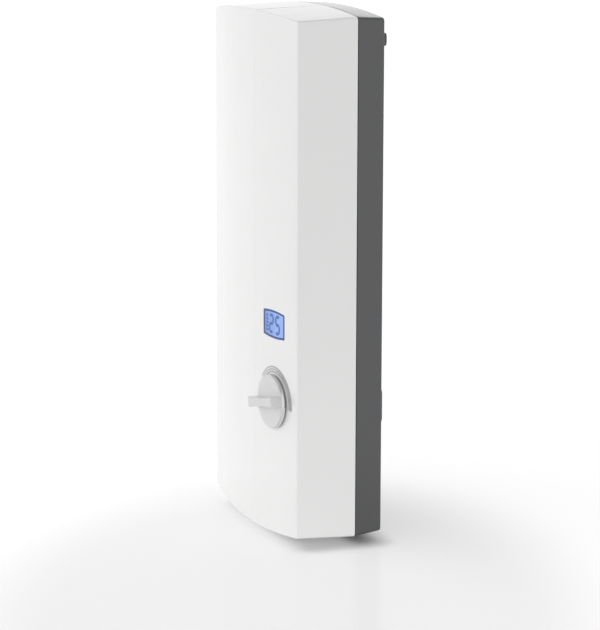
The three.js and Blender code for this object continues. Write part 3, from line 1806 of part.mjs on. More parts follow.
function valveBall() {
  const ball = ballForm(valve.ballRadius);
  const bore = rodUp(
    connection.waterRadius * shares.ballBore,
    ballZ - valve.ballRadius - fit.overrun,
    ballZ + valve.ballRadius + fit.overrun,
    coldX,
    waterDepth,
    facets.small,
  );
  const groove = brick(
    around(coldX, 2 * (valve.tangHalfWidth + fit.clearance)),
    [waterDepth + valve.ballRadius - valve.tangDepth, waterDepth + valve.ballRadius + fit.overrun],
    around(ballZ, 2 * valve.ballRadius),
  );
  return cut(ball, bore, groove);
}

function valveSpindle() {
  const headBack = waterDepth + valve.neckReach + fit.clearance;
  const headFront = headBack + valve.spindleHead;
  const tangBack = waterDepth + valve.ballRadius - valve.tangDepth + fit.clearance;
  const shank = rodDeep(
    valve.spindleRadius,
    waterDepth + valve.ballRadius + fit.clearance,
    headFront - fit.overrun / 2,
    coldX,
    ballZ,
  );
  const tang = brick(
    around(coldX, 2 * valve.tangHalfWidth),
    [tangBack, waterDepth + valve.ballRadius + fit.overrun],
    around(ballZ, 2 * valve.tangHalfWidth),
  );
  const head = rodDeep(valve.spindleHeadRadius, headBack, headFront, coldX, ballZ, facets.round);
  const slot = brick(
    around(coldX, valve.slotWidth),
    [headFront - valve.slotDepth, headFront + fit.overrun],
    around(ballZ, 2 * valve.spindleHeadRadius + fit.overrun),
  );
  return cut(join(shank, tang, head), slot);
}

// The insert that holds the ball from above.
function valveSeat() {
  return turnedUp(
    ringPoints(
      connection.waterRadius,
      valve.ballRadius,
      ballZ + valve.ballRadius * shares.seatStart,
      ballZ + valve.bodyHalfHeight - fit.clearance,
    ),
    coldX,
    waterDepth,
    facets.small,
  );
}

function unionNut(x) {
  const front = flangeFront + fit.clearance + connection.nutShoulder;
  const hexRadius = connection.nutAcrossFlats / Math.sqrt(3);
  const hex = rodDeep(hexRadius, connection.nutBack, front, x, connectionZ, facets.hex);
  const chamfer = turnedDeep([
    [0, connection.nutBack - fit.overrun],
    [hexRadius - fit.overrun, connection.nutBack - fit.overrun],
    [hexRadius + fit.overrun / 2, connection.nutBack + fit.overrun],
    [hexRadius + fit.overrun / 2, front - fit.overrun],
    [hexRadius - fit.overrun, front + fit.overrun],
    [0, front + fit.overrun],
  ], x, connectionZ, facets.round);
  const bore = rodDeep(
    connection.nutBoreRadius,
    connection.nutBack - fit.overrun,
    flangeFront + fit.clearance,
    x,
    connectionZ,
    facets.round,
  );
  const shoulder = rodDeep(
    connection.legRadius + fit.clearance,
    flangeFront,
    front + fit.overrun,
    x,
    connectionZ,
    facets.round,
  );
  return cut(common(hex, chamfer), bore, shoulder);
}

function flatSeal(x) {
  const front = connection.face + connection.sealThickness;
  return turnedDeep(
    ringPoints(connection.sealInner, connection.sealOuter, connection.face, front),
    x,
    connectionZ,
    facets.round,
  );
}

const hotElbowTop = connectionZ + connection.elbowRise;

function hotElbow() {
  const upright = rodUp(connection.legRadius, connectionZ, hotElbowTop, hotX, waterDepth);
  const collar = rodUp(
    connection.flangeRadius, hotElbowTop - connection.legRadius, hotElbowTop, hotX, waterDepth,
  );
  const top = hotElbowTop + fit.overrun;
  const waterway = rodUp(
    connection.waterRadius - fit.clearance, connectionZ, top, hotX, waterDepth, facets.small,
  );
  const socket = rodUp(
    pipe.radius + fit.clearance,
    hotElbowTop - pipe.insertion - fit.clearance,
    top,
    hotX,
    waterDepth,
  );
  return cut(join(wallLeg(hotX), elbowBall(hotX), upright, collar), wallBore(hotX), waterway, socket);
}

function hotPipe() {
  const low = hotElbowTop - pipe.insertion;
  const high = hotPortFace + pipe.insertion;
  return turnedUp(ringPoints(pipe.waterRadius, pipe.radius, low, high), hotX, waterDepth, facets.round);
}

const sensorSocketTop = sensorTop - sensor.socketDepth;

function coldPipe() {
  const low = sensorSocketTop + fit.clearance;
  const path = new THREE.CurvePath();
  const bendStart = at(coldX, waterDepth, coldPortZ - pipe.coldBend);
  const bendEnd = at(coldX - pipe.coldBend, waterDepth, coldPortZ);
  path.add(new THREE.LineCurve3(at(coldX, waterDepth, low), bendStart));
  path.add(new THREE.QuadraticBezierCurve3(bendStart, at(coldX, waterDepth, coldPortZ), bendEnd));
  path.add(new THREE.LineCurve3(bendEnd, at(coldPortFace - pipe.insertion, waterDepth, coldPortZ)));
  return tube(path, pipe.radius, pipe.waterRadius, facets.section + 1, 2 * facets.bend);
}

// A hub on arms that bears one end of the rotor's shaft. Its arms reach out as far as asked.
function spider(z, reach, ...outer) {
  const [low, high] = around(z, sensor.spiderThickness);
  const hub = rodUp(sensor.spiderHubRadius, low, high, coldX, waterDepth, facets.small);
  const arms = Array.from({ length: sensor.spiderArmCount }, (_, i) => {
    const arm = new THREE.BoxGeometry(reach, sensor.spiderArmWidth, high - low);
    arm.translate(reach / 2, 0, 0).rotateZ((i * 2 * Math.PI) / sensor.spiderArmCount);
    return arm.translate(coldX, -waterDepth, z);
  });
  const bore = rodUp(
    sensor.pinRadius + fit.clearance * shares.pinPlay,
    low - fit.overrun,
    high + fit.overrun,
    coldX,
    waterDepth,
    facets.small,
  );
  return cut(join(hub, ...arms, ...outer), bore);
}

// The lower spider is a piece of its own: a ring that slides into the housing.
function turbineBearing() {
  const [low, high] = around(spiderLow, sensor.spiderThickness);
  const inner = sensor.boreRadius - sensor.spiderArmWidth / 2;
  const outer = sensor.boreRadius - fit.clearance;
  const ring = turnedUp(ringPoints(inner, outer, low, high), coldX, waterDepth, facets.round);
  return spider(spiderLow, (inner + outer) / 2, ring);
}

function sensorHousing() {
  const bore = sensor.boreRadius;
  const points = [
    [sensor.socketRadius, sensorBottom],
    [sensor.collarRadius, sensorBottom],
    [sensor.collarRadius, sensorBottom + sensor.collarHeight],
    [sensor.outerRadius, sensorBottom + sensor.collarHeight],
    [sensor.outerRadius, sensorTop - sensor.collarHeight],
    [sensor.collarRadius, sensorTop - sensor.collarHeight],
    [sensor.collarRadius, sensorTop],
    [pipe.radius + fit.clearance, sensorTop],
    [pipe.radius + fit.clearance, sensorSocketTop],
    [bore - sensor.spiderArmWidth, sensorSocketTop],
    [bore - sensor.spiderArmWidth, spiderHigh + sensor.spiderThickness / 2],
    [bore, spiderHigh + sensor.spiderThickness / 2],
    [bore, sensorBottom + sensor.socketDepth],
    [sensor.socketRadius, sensorBottom + sensor.socketDepth],
    [sensor.socketRadius, sensorBottom],
  ];
  const tubeBody = turnedUp(points, coldX, waterDepth, facets.round);
  const upperSpider = spider(spiderHigh, (sensor.boreRadius + sensor.outerRadius) / 2);
  const pickupSeat = brick(
    around(coldX, sensor.pickupWidth),
    [waterDepth + sensor.boreRadius + fit.clearance, waterDepth + sensor.outerRadius + fit.clearance],
    around((spiderLow + spiderHigh) / 2, sensor.pickupHeight),
  );
  return join(tubeBody, upperSpider, pickupSeat);
}

const rotorLow = spiderLow + sensor.spiderThickness / 2 + fit.clearance;
const rotorHigh = spiderHigh - sensor.spiderThickness / 2 - fit.clearance;

function turbineRotor() {
  const shaft = rodUp(
    sensor.pinRadius,
    rotorLow - sensor.pinLength,
    rotorHigh + sensor.pinLength,
    coldX,
    waterDepth,
    facets.fine,
  );
  const middle = (rotorLow + rotorHigh) / 2;
  const hubHalf = (rotorHigh - rotorLow) / 2;
  const hub = turnedUp([
    [0, middle - hubHalf],
    [sensor.spiderHubRadius, middle - hubHalf],
    [sensor.rotorHubRadius, middle - hubHalf / 2],
    [sensor.rotorHubRadius, middle + hubHalf / 2],
    [sensor.spiderHubRadius, middle + hubHalf],
    [0, middle + hubHalf],
  ], coldX, waterDepth, facets.small);
  const blades = Array.from({ length: sensor.bladeCount }, (_, i) => {
    const rise = (rotorHigh - rotorLow) * sensor.bladeShare;
    const blade = new THREE.BoxGeometry(sensor.rotorRadius, sensor.bladeThickness, rise);
    blade.rotateX(THREE.MathUtils.degToRad(sensor.bladePitchDegrees));
    blade.translate(sensor.rotorRadius / 2, 0, 0);
    blade.rotateZ((i * 2 * Math.PI) / sensor.bladeCount);
    return blade.translate(coldX, -waterDepth, middle);
  });
  const envelope = rodUp(sensor.rotorRadius, rotorLow, rotorHigh, coldX, waterDepth);
  return join(common(join(hub, ...blades), envelope), shaft);
}

function sensorPickup() {
  const back = waterDepth + sensor.outerRadius + 2 * fit.clearance;
  const middle = (spiderLow + spiderHigh) / 2;
  const body = slab(
    roundedRect(sensor.pickupWidth, sensor.pickupHeight, 2 * fit.clearance, coldX, middle),
    back,
    back + sensor.pickupDepth,
  );
  const plug = brick(
    around(coldX, sensor.plugWidth),
    around(back + sensor.pickupDepth / 2, sensor.plugDepth),
    [middle, middle + sensor.pickupHeight / 2 + sensor.collarHeight],
  );
  return join(body, plug);
}

function inletStrainer() {
  const low = spigotTop + fit.clearance;
  const high = spiderLow - sensor.spiderThickness / 2 - fit.clearance;
  return turnedUp([
    [valve.neckRadius, low],
    [sensor.boreRadius - fit.clearance, low],
    [sensor.boreRadius - fit.clearance, low + sensor.bladeThickness],
    [valve.neckRadius, low + sensor.bladeThickness],
    [sensor.rotorHubRadius, high],
    [0, high],
    [0, high - sensor.bladeThickness],
    [sensor.rotorHubRadius - fit.clearance, high - sensor.bladeThickness],
    [valve.neckRadius - sensor.bladeThickness, low],
    [valve.neckRadius, low],
  ], coldX, waterDepth, facets.small);
}

// A sensor bead held on a pipe by a spring clip that is open on one side.
function pipeProbe(vertical) {
  const inner = pipe.radius + fit.clearance;
  const outer = inner + probe.clipThickness;
  const clip = turned(ringPoints(inner, outer, -probe.clipHeight / 2, probe.clipHeight / 2), facets.round);
  const mouth = new THREE.BoxGeometry(outer * 2, probe.clipHeight + fit.overrun, probe.clipOpening);
  mouth.translate(-outer, 0, 0);
  const bead = new THREE.CylinderGeometry(probe.radius, probe.radius, probe.length, facets.small);
  bead.translate(outer + probe.radius - probe.clipThickness / 2, 0, 0);
  const room = new THREE.CylinderGeometry(inner, inner, probe.length + fit.overrun, facets.round);
  const body = cut(join(cut(clip, mouth), bead), room);
  body.rotateY(-Math.PI / 2);
  if (vertical) return body.rotateX(Math.PI / 2).rotateZ(Math.PI);
  return body.rotateZ(Math.PI / 2).rotateX(Math.PI / 2);
}

function powerBoard() {
  const outline = roundedRect(boardWidth, board.height, board.radius, boardX, boardZ);
  const plate = slab(outline, board.front - board.thickness, board.front);
  const screws = boardPlaces.map(([x, z]) => fixingScrew(x, z, board.front));
  const leads = [-1, 1].map((side) => brick(
    around(leadX, board.leadWidth),
    [board.front - board.thickness / 2, board.front + board.leadDepth],
    around(boardZ + side * (board.height / 2 - board.leadHeight / 2), board.leadHeight),
  ));
  const header = brick(
    around(headerX, board.headerWidth),
    [board.front - board.thickness / 2, board.front + board.headerDepth],
    around(headerZ, board.headerHeight),
  );
  const headerWell = brick(
    around(headerX, board.headerWidth - 2 * board.edge),
    [board.front + 2 * board.edge, board.front + board.headerDepth + fit.overrun],
    around(headerZ, board.headerHeight - 2 * board.edge),
  );
  const [fuseFrom, fuseTo] = around(headerX, board.headerWidth);
  const fuse = rodAcross(
    board.headerHeight / 2,
    fuseFrom,
    fuseTo,
    board.front + board.headerHeight / 2 - fit.clearance,
    headerZ + 2 * board.headerHeight,
    facets.small,
  );
  return cut(join(plate, header, fuse, ...screws, ...leads), headerWell);
}

function powerRelay() {
  const back = board.front + fit.clearance;
  const front = back + board.relayDepth;
  const outline = (inset) => roundedRect(
    board.relayWidth - inset, board.relayHeight - inset, board.edge, relayX, relayZ,
  );
  const dish = slab(outline(4 * board.edge), front - board.edge / 2, front + fit.overrun);
  return cut(slab(outline(0), back, front), dish);
}

function filterChoke() {
  const back = board.front + fit.clearance;
  const front = back + board.chokeDepth;
  const [inner, outer, edge] = [board.chokeInner, board.chokeRadius, board.edge];
  return turnedDeep([
    [inner, back + edge],
    [inner + edge, back],
    [outer - edge, back],
    [outer, back + edge],
    [outer, front - edge],
    [outer - edge, front],
    [inner + edge, front],
    [inner, front - edge],
    [inner, back + edge],
  ], relayX, chokeZ, facets.round);
}

const plateBack = board.front + fit.clearance;
const plateFront = plateBack + triac.plateThickness;

// Aluminium cooling plate under the triacs, finned along one side.
function coolingPlate() {
  const middle = boardZ;
  const top = middle + triac.plateHeight / 2;
  const body = brick(
    around(plateX, triac.plateWidth), [plateBack, plateFront], around(middle, triac.plateHeight),
  );
  const lastFin = plateX + (triac.plateWidth - triac.finThickness) / 2;
  const fins = Array.from({ length: triac.finCount }, (_, i) => brick(
    around(lastFin - i * 2 * triac.finThickness, triac.finThickness),
    [plateFront - fit.overrun / 2, plateFront + triac.finHeight],
    [top - triac.tabHeight, top],
  ));
  return join(body, ...fins);
}

function triacPiece(index) {
  const z = boardZ + (index - 1) * triac.pitch;
  const back = plateFront + fit.clearance;
  const front = back + triac.thickness;
  const body = brick(around(plateX, triac.width), [back, front], around(z, triac.height));
  const tab = brick(
    around(plateX, triac.width),
    [back, back + triac.tabThickness],
    [z + triac.height / 2 - fit.overrun / 2, z + triac.height / 2 + triac.tabHeight],
  );
  const hole = rodDeep(
    triac.holeRadius,
    back - fit.overrun,
    front,
    plateX,
    z + (triac.height + triac.tabHeight) / 2,
    facets.fine,
  );
  return cut(join(body, tab), hole);
}

const entryDepth = mains.back + mains.entryBack;
const poleXs = Array.from(
  { length: mains.poleCount },
  (_, i) => mains.x + (i - (mains.poleCount - 1) / 2) * (mains.width / mains.poleCount),
);

function mainsTerminal() {
  const front = mains.back + mains.depth;
  const low = mainsZ - mains.height / 2;
  const high = mainsZ + mains.height / 2;
  const body = brick(around(mains.x, mains.width), [mains.back, front], [low, high]);
  const step = brick(
    around(mains.x, mains.width + fit.overrun),
    [front - mains.step, front + fit.overrun],
    [low - fit.overrun, mainsZ - mains.wellRadius - mains.barrier],
  );
  const stepHigh = brick(
    around(mains.x, mains.width + fit.overrun),
    [front - mains.step, front + fit.overrun],
    [mainsZ + mains.wellRadius + mains.barrier, high + fit.overrun],
  );
  const barrierXs = Array.from(
    { length: mains.poleCount + 1 },
    (_, i) => mains.x + (i / mains.poleCount - 1 / 2) * (mains.width - mains.barrier),
  );
  const barriers = barrierXs.map(
    (x) => brick(around(x, mains.barrier), [mains.back, front], [low, high]),
  );
  const wells = poleXs.map((x) => rodDeep(
    mains.wellRadius, front - mains.wellDepth, front + fit.overrun, x, mainsZ,
  ));
  const entries = poleXs.map((x) => brick(
    around(x, mains.entryWidth),
    around(entryDepth, mains.entryHeight),
    [low - fit.overrun, high + fit.overrun],
  ));
  const screws = poleXs.map((x) => terminalScrew(x));
  return join(cut(join(cut(body, step, stepHigh), ...barriers), ...wells, ...entries), ...screws);
}

function terminalScrew(x) {
  const front = mains.back + mains.depth - mains.screwHeight / 2;
  const back = mains.back + mains.depth - mains.wellDepth - fit.overrun / 2;
  return rodDeep(mains.screwRadius, back, front, x, mainsZ);
}

// Three wires that run side by side, joined where they touch.
function loom(paths) {
  return join(...paths.map((points) => {
    const path = new THREE.CatmullRomCurve3(points);
    return tube(path, wire.radius, 0, wire.sideCount, wire.stepCount);
  }));
}

// The mains wires leave the terminal upwards, pass behind the cold pipe and end at the power board.
function mainsLoom() {
  const start = mainsZ + mains.height / 2 + fit.clearance;
  const end = boardZ - board.height / 2 - fit.clearance;
  const lane = floorFront + shell.ribHeight + 2 * wire.radius;
  return loom([0, 1, 2].map((i) => {
    const x = leadX + (i - 1) * wire.pitch;
    return [
      at(poleXs[i + 1], entryDepth, start),
      at(poleXs[i + 1], entryDepth, start + wire.turn),
      at(x, lane, clampZ),
      at(x, lane, (clampZ + end) / 2),
      at(x, lane, end - wire.rise),
      at(x, board.front + board.leadDepth / 2, end - wire.turn),
      at(x, board.front + board.leadDepth / 2, end),
    ];
  }));
}

// The heater wires rise from the power board, cross above the heating block and end on its studs.
function heaterLoom() {
  const start = boardZ + board.height / 2 + fit.clearance;
  const end = capTop + cap.terminalLength + fit.clearance;
  return loom([0, 1, 2].map((i) => {
    const x = leadX + (1 - i) * wire.pitch;
    const z = end + 2 * wire.turn + (1 - i) * wire.pitch;
    const stud = terminalXs[2 - i];
    return [
      at(x, terminalDepth, start),
      at(x, terminalDepth, z - wire.turn),
      at(x - wire.turn, terminalDepth, z),
      at(stud + wire.turn, terminalDepth, z),
      at(stud, terminalDepth, z - wire.turn),
      at(stud, terminalDepth, end),
    ];
  }));
}

const finish = {
  cover: new THREE.MeshStandardMaterial({ color: colours.white, roughness: 0.38, metalness: 0 }),
  shell: new THREE.MeshStandardMaterial({ color: colours.darkGrey, roughness: 0.6, metalness: 0 }),
  knob: new THREE.MeshStandardMaterial({ color: colours.lightGrey, roughness: 0.35, metalness: 0.1 }),
  steel: new THREE.MeshStandardMaterial({ color: colours.steel, roughness: 0.4, metalness: 0.9 }),
  coatedSteel: new THREE.MeshStandardMaterial({ color: colours.darkGrey, roughness: 0.65, metalness: 0 }),
  brass: new THREE.MeshStandardMaterial({ color: colours.brass, roughness: 0.35, metalness: 0.9 }),
  copper: new THREE.MeshStandardMaterial({ color: colours.copper, roughness: 0.35, metalness: 0.9 }),
  black: new THREE.MeshStandardMaterial({ color: colours.black, roughness: 0.55, metalness: 0 }),
  block: new THREE.MeshStandardMaterial({ color: colours.blockGrey, roughness: 0.6, metalness: 0 }),
  board: new THREE.MeshStandardMaterial({ color: colours.boardGreen, roughness: 0.5, metalness: 0 }),
  rubber: new THREE.MeshStandardMaterial({ color: colours.rubber, roughness: 0.9, metalness: 0 }),
  display: new THREE.MeshStandardMaterial({ color: colours.blue, roughness: 0.3, metalness: 0 }),
  red: new THREE.MeshStandardMaterial({ color: colours.red, roughness: 0.4, metalness: 0 }),
  aluminium: new THREE.MeshStandardMaterial({ color: colours.aluminium, roughness: 0.4, metalness: 0.8 }),
  clear: new THREE.MeshStandardMaterial({
    color: colours.clear, roughness: 0.1, metalness: 0, transparent: true, opacity: 0.4,
  }),
};

const heater = new THREE.Group();
const root = new THREE.Group();
const coverGroup = new THREE.Group();
const controls = new THREE.Group();
const knobGroup = new THREE.Group();
heater.position.z = -bracketZ;
heater.add(root, coverGroup);
coverGroup.add(controls);
controls.add(knobGroup);
controls.position.set(knobX, -knobSurface, knobZ);
controls.rotation.z = controlTurn;
knobGroup.rotation.y = THREE.MathUtils.degToRad(-knob.restAngleDegrees);

function add(parent, name, geometry, material) {
  const mesh = new THREE.Mesh(weld(geometry), material);
  mesh.name = name;
  parent.add(mesh);
  return mesh;
}

add(root, 'wall_bracket', wallBracket(), finish.coatedSteel);
add(root, 'rear_shell', rearShell(), finish.shell);
add(root, 'lower_back_panel', lowerBackPanel(), finish.shell);
add(root, 'cable_grommet', cableGrommet(), finish.rubber);
add(root, 'wall_pad_left', wallPad(-1), finish.rubber);
add(root, 'wall_pad_right', wallPad(1), finish.rubber);
add(root, 'clamp_knob', clampKnob(), finish.black);
add(root, 'cover_screw', coverScrewPiece(), finish.steel);

add(root, 'heating_block', heatingBlock(), finish.block);
add(root, 'heating_block_cap', blockCap(), finish.black);
terminalXs.forEach((x, i) => add(root, `heater_terminal_${i + 1}`, heaterTerminal(x), finish.brass));
add(root, 'pressure_limiter', pressureLimiter(), finish.black);
add(root, 'limiter_reset_button', limiterButton(), finish.red);
add(root, 'thermal_cutout', thermalCutout(), finish.black);
add(root, 'cutout_reset_pin', cutoutPin(), finish.red);

add(root, 'cold_inlet_valve', valveBody(), finish.brass);
add(root, 'valve_ball', valveBall(), finish.steel);
add(root, 'valve_spindle', valveSpindle(), finish.brass);
add(root, 'valve_seat', valveSeat(), finish.block);
add(root, 'cold_union_nut', unionNut(coldX), finish.brass);
add(root, 'cold_flat_seal', flatSeal(coldX), finish.rubber);
add(root, 'inlet_strainer', inletStrainer(), finish.steel);
add(root, 'flow_sensor_housing', sensorHousing(), finish.black);
add(root, 'turbine_rotor', turbineRotor(), finish.cover);
add(root, 'turbine_bearing', turbineBearing(), finish.block);
add(root, 'flow_sensor_pickup', sensorPickup(), finish.black);
add(root, 'cold_pipe', coldPipe(), finish.copper);
add(root, 'hot_pipe', hotPipe(), finish.copper);
add(root, 'hot_outlet_elbow', hotElbow(), finish.brass);
add(root, 'hot_union_nut', unionNut(hotX), finish.brass);
add(root, 'hot_flat_seal', flatSeal(hotX), finish.rubber);
const inletSensor = add(root, 'inlet_sensor', pipeProbe(false), finish.steel);
const outletSensor = add(root, 'outlet_sensor', pipeProbe(true), finish.steel);
inletSensor.position.copy(at(probe.coldX, waterDepth, coldPortZ));
outletSensor.position.copy(at(hotX, waterDepth, hotProbeZ));

add(root, 'power_board', powerBoard(), finish.board);
add(root, 'power_relay', powerRelay(), finish.black);
add(root, 'filter_choke', filterChoke(), finish.copper);
add(root, 'cooling_plate', coolingPlate(), finish.aluminium);
[0, 1, 2].forEach((i) => add(root, `triac_${i + 1}`, triacPiece(i), finish.black));

add(root, 'mains_terminal_block', mainsTerminal(), finish.cover);
add(root, 'mains_loom', mainsLoom(), finish.black);
add(root, 'heater_loom', heaterLoom(), finish.red);

add(coverGroup, 'front_cover', frontCover(), finish.cover);
add(coverGroup, 'display_window', displayWindow(), finish.clear);
add(controls, 'display_module', displayModule(), finish.display);
add(controls, 'control_board', controlBoard(), finish.board);
add(controls, 'control_housing', controlHousing(), finish.shell);
earPlaces.forEach((place, i) => add(controls, `control_screw_${i + 1}`, controlScrew(place), finish.steel));
add(controls, 'rotary_encoder', encoderBody(), finish.black);
add(knobGroup, 'temperature_knob', temperatureKnob(), finish.knob);
add(knobGroup, 'knob_rim', knobRim(), finish.steel);
add(knobGroup, 'knob_spindle', knobSpindle(), finish.block);

export default heater;
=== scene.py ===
import json
import math

import bpy
from mathutils import Matrix, Vector


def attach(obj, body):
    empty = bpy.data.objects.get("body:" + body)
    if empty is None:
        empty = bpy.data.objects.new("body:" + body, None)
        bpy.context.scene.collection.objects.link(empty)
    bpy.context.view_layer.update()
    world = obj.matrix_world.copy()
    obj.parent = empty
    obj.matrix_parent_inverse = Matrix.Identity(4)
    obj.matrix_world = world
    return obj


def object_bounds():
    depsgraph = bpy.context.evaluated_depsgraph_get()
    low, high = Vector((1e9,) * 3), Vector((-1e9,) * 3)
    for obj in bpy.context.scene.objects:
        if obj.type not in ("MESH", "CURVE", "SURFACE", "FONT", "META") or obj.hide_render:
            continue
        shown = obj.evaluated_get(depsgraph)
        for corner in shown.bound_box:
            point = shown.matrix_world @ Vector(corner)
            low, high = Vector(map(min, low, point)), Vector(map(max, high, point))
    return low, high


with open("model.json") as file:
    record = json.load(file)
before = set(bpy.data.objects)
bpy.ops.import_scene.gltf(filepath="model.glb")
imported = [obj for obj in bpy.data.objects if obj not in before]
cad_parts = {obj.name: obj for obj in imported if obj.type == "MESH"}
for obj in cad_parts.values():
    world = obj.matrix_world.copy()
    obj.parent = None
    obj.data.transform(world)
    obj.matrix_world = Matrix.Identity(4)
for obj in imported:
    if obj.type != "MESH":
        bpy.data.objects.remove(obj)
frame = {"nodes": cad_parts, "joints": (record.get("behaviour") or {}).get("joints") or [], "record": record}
cad_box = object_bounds()
cad_middle = (cad_box[0] + cad_box[1]) / 2

# Lengths are in metres, and MM is one millimetre.
MM = 0.001
UP = Vector((0, 0, 1))
WHITE = (1, 1, 1, 1)

# The photographed view: where the camera stands, what it looks at, how far it leans in degrees, its
# lens and sensor in millimetres, and the nearest and farthest distance that it sees.
CAMERA = {
    "place": Vector((2.1638, -0.85242, 0.16543)),
    "aim": Vector((0.0, -0.0417, -0.2632)),
    "roll": 0.12,
    "lens": 142.857,
    "sensor": 36,
    "near": 0.05,
    "far": 200,
}

# A ramp is two values of what it reads, and what it gives at each of them.
# The world's ramps read the height of a direction, which is 0 at the horizon and 1 overhead. Its
# light is bright round the horizon and dim overhead, and a little stronger from the front. Seen
# directly, it is white up to the first height.
WORLD_LIGHT = ((0.2, 0.72), (1.25, 0.5))
WORLD_SHOWN = ((0.4, 0.85), (1.0, 0.4))
FRONT_GAIN = 0.1
KEY_LAMP = {"place": Vector((-2.0, -3.2, 1.1)), "size": 4.0, "power": 14}

FLOOR = {
    "half": 30.0,
    "gap": 1 * MM,
    "colour": (0.74, 0.74, 0.74, 1),
    "roughness": 0.9,
    "gloss": 0.06,
    "gloss_roughness": 0.16,
}
# A soft grey pool of painted shade on the floor round the object, where the floor's glow is
# weaker: how much nearer to the camera than the object its middle is, and its half lengths,
# sideways and away from the camera. Its ramps read the distance from its middle, which is 1 at
# its rim, and give how brightly the floor shows round it and far away.
SHADE_POOL = {"nearer": 0.3, "half": (0.27, 0.44)}
SHADE_POOL_GLOW = ((0.7, 1.2), (0.35, 0.51))
FAR_GLOW = ((1.0, 8.0), (0.0, 0.06))
# The place under the casing: its middle and half lengths. Its ramps read the distance from it. The
# first takes the pool's glow away there, a painted shadow that darkens the floor under the casing
# and deepens the rendered contact shadow. The second is painted bounce light: a glow of the floor
# near the object, which only rays that don't come from the camera see, and which lights the object
# from below.
FOOT = {"place": (24 * MM, -42 * MM), "half": (84 * MM, 28 * MM, 0)}
PAINTED_FOOT_SHADOW = ((0, 30 * MM), (0, 1))
PAINTED_BOUNCE_GLOW = ((0.05, 0.7), (0.28, 0))

# The casing's front, as in the CAD source: a bow across its width, and a low step at STEP_X, which
# fades out towards the right edge.
HALF_WIDTH = 113 * MM
FRONT_EDGE_DEPTH = 86.5 * MM
BULGE = 10.5 * MM
STEP_X = 27.3 * MM
STEP_RISE = 0.4 * MM

# How a solid's edges are softened: the rounding's width, the least turn in degrees that is rounded,
# the least turn that stays sharp, whether narrow places limit the width everywhere on the solid,
# and whether its flat triangles are merged first.
COMMON_EDGES = {"width": 0.2 * MM, "rounded": 50, "sharp": 50, "limited": True, "merged": True}
COVER_EDGES = {"width": 0.25 * MM, "rounded": 32, "sharp": 40, "limited": False, "merged": True}
EDGES = {
    "front_cover": COVER_EDGES,
    "rear_shell": {**COVER_EDGES, "width": 0.5 * MM, "merged": False},
    "temperature_knob": {**COVER_EDGES, "width": 0},
}
WELD_GAP = 0.002 * MM
FLAT_DEGREES = 0.02
ROUNDING_SEGMENTS = 2

# The display window in the cover. The border is printed round the lit panel, a layer above it.
WINDOW = {
    "x": 69 * MM,
    "z": -256.5 * MM,
    "half_width": 21.15 * MM,
    "half_height": 11.6 * MM,
    "bow": 1.3 * MM,
    "corner": 1.4 * MM,
    "gap": 0.3 * MM,
    "set_back": 0.44 * MM,
    "layer": 0.05 * MM,
    "border_sides": 3.1 * MM,
    "border_ends": 2.0 * MM,
    "columns": 48,
    "side_columns": 12,
}

# The digits on the display, each with its offset from the window's middle, and the seven bars that
# a digit is drawn with, by their usual letters.
DIGIT = {"width": 6.9 * MM, "height": 15.4 * MM, "stroke": 2.9 * MM, "gap": 0.1 * MM, "slant": 0.04}
DIGITS = [("2", -5.0 * MM), ("5", 7.2 * MM)]
SEGMENTS = {"2": "abged", "5": "afgcd"}
# The column of marks left of them. The top one has first_share of the half width, and each one
# below it has growth more.
MARKS = {
    "count": 5,
    "x": -13.6 * MM,
    "pitch": 3.3 * MM,
    "half_width": 2.3 * MM,
    "half_height": 1.05 * MM,
    "first_share": 0.75,
    "growth": 0.1,
}

# The bright band round the knob's disc: its profile as radius and height off the cover, and the
# least turn in degrees that stays sharp.
BAND = {
    "profile": [
        (24.7 * MM, 1.0 * MM),
        (24.88 * MM, 1.0 * MM),
        (24.88 * MM, 3.9 * MM),
        (24.82 * MM, 4.05 * MM),
        (24.7 * MM, 4.05 * MM),
    ],
    "steps": 120,
    "sharp": 35,
}

# The scale printed round the knob: three lines that widen clockwise into one band. They are as wide
# as they get after 1 / widening of their length, and power shapes how they get there.
SCALE = {
    "first_radii": [26.2 * MM, 28.6 * MM, 31.0 * MM],
    "last_radii": [28.7 * MM, 30.5 * MM, 32.3 * MM],
    "start_degrees": 142,
    "end_degrees": -7,
    "thin": 0.45 * MM,
    "wide": 0.98 * MM,
    "widening": 1.5,
    "power": 1.5,
    "lift": 0.08 * MM,
    "steps": 96,
}

# Noise keeps near one half, so this part of it is spread over the values that a material takes.
NOISE_RANGE = (0.3, 0.7)
# What all plastics, all metals and all inks have in common. A larger scale is a finer noise, and a
# height is a share of the depth that goes with it.
PLASTIC = {
    "ior": 1.5,
    "coat_roughness": 0.14,
    "grain_detail": 3.0,
    "grain_depth": 0.1 * MM,
    "mottle_scale": 9.0,
    "gloss_scale": 60.0,
    "gloss_spread": 0.04,
}
METAL = {
    "stretch": (1, 1, 14),
    "streak_scale": 260.0,
    "streak_detail": 4.0,
    "streak_height": 0.08,
    "streak_depth": 0.05 * MM,
    "tarnish_scale": 40.0,
    "tarnish_detail": 5.0,
    "smoother": 0.07,
    "rougher": 0.1,
}
INK = {"grain": 1500.0, "mottle": 0.06, "roughness": 0.5}
# The circuit boards, the clear window and the lit panel under it.
BOARD = {
    "scale": 130.0,
    "track_width": 0.09,
    "mask": [(0.02, 0.13, 0.055, 1), (0.024, 0.15, 0.065, 1)],
    "track": (0.05, 0.26, 0.12, 1),
    "turn": (math.radians(90), 0, 0),
    "height": 0.3,
    "depth": 0.05 * MM,
    "gloss_scale": 500.0,
    "roughness": (0.3, 0.42),
}
CLEAR = {
    "colour": (0.75, 0.82, 0.98, 1),
    "alpha": 0.1,
    "ior": 1.49,
    "gloss_scale": 300.0,
    "roughness": (0.03, 0.08),
}
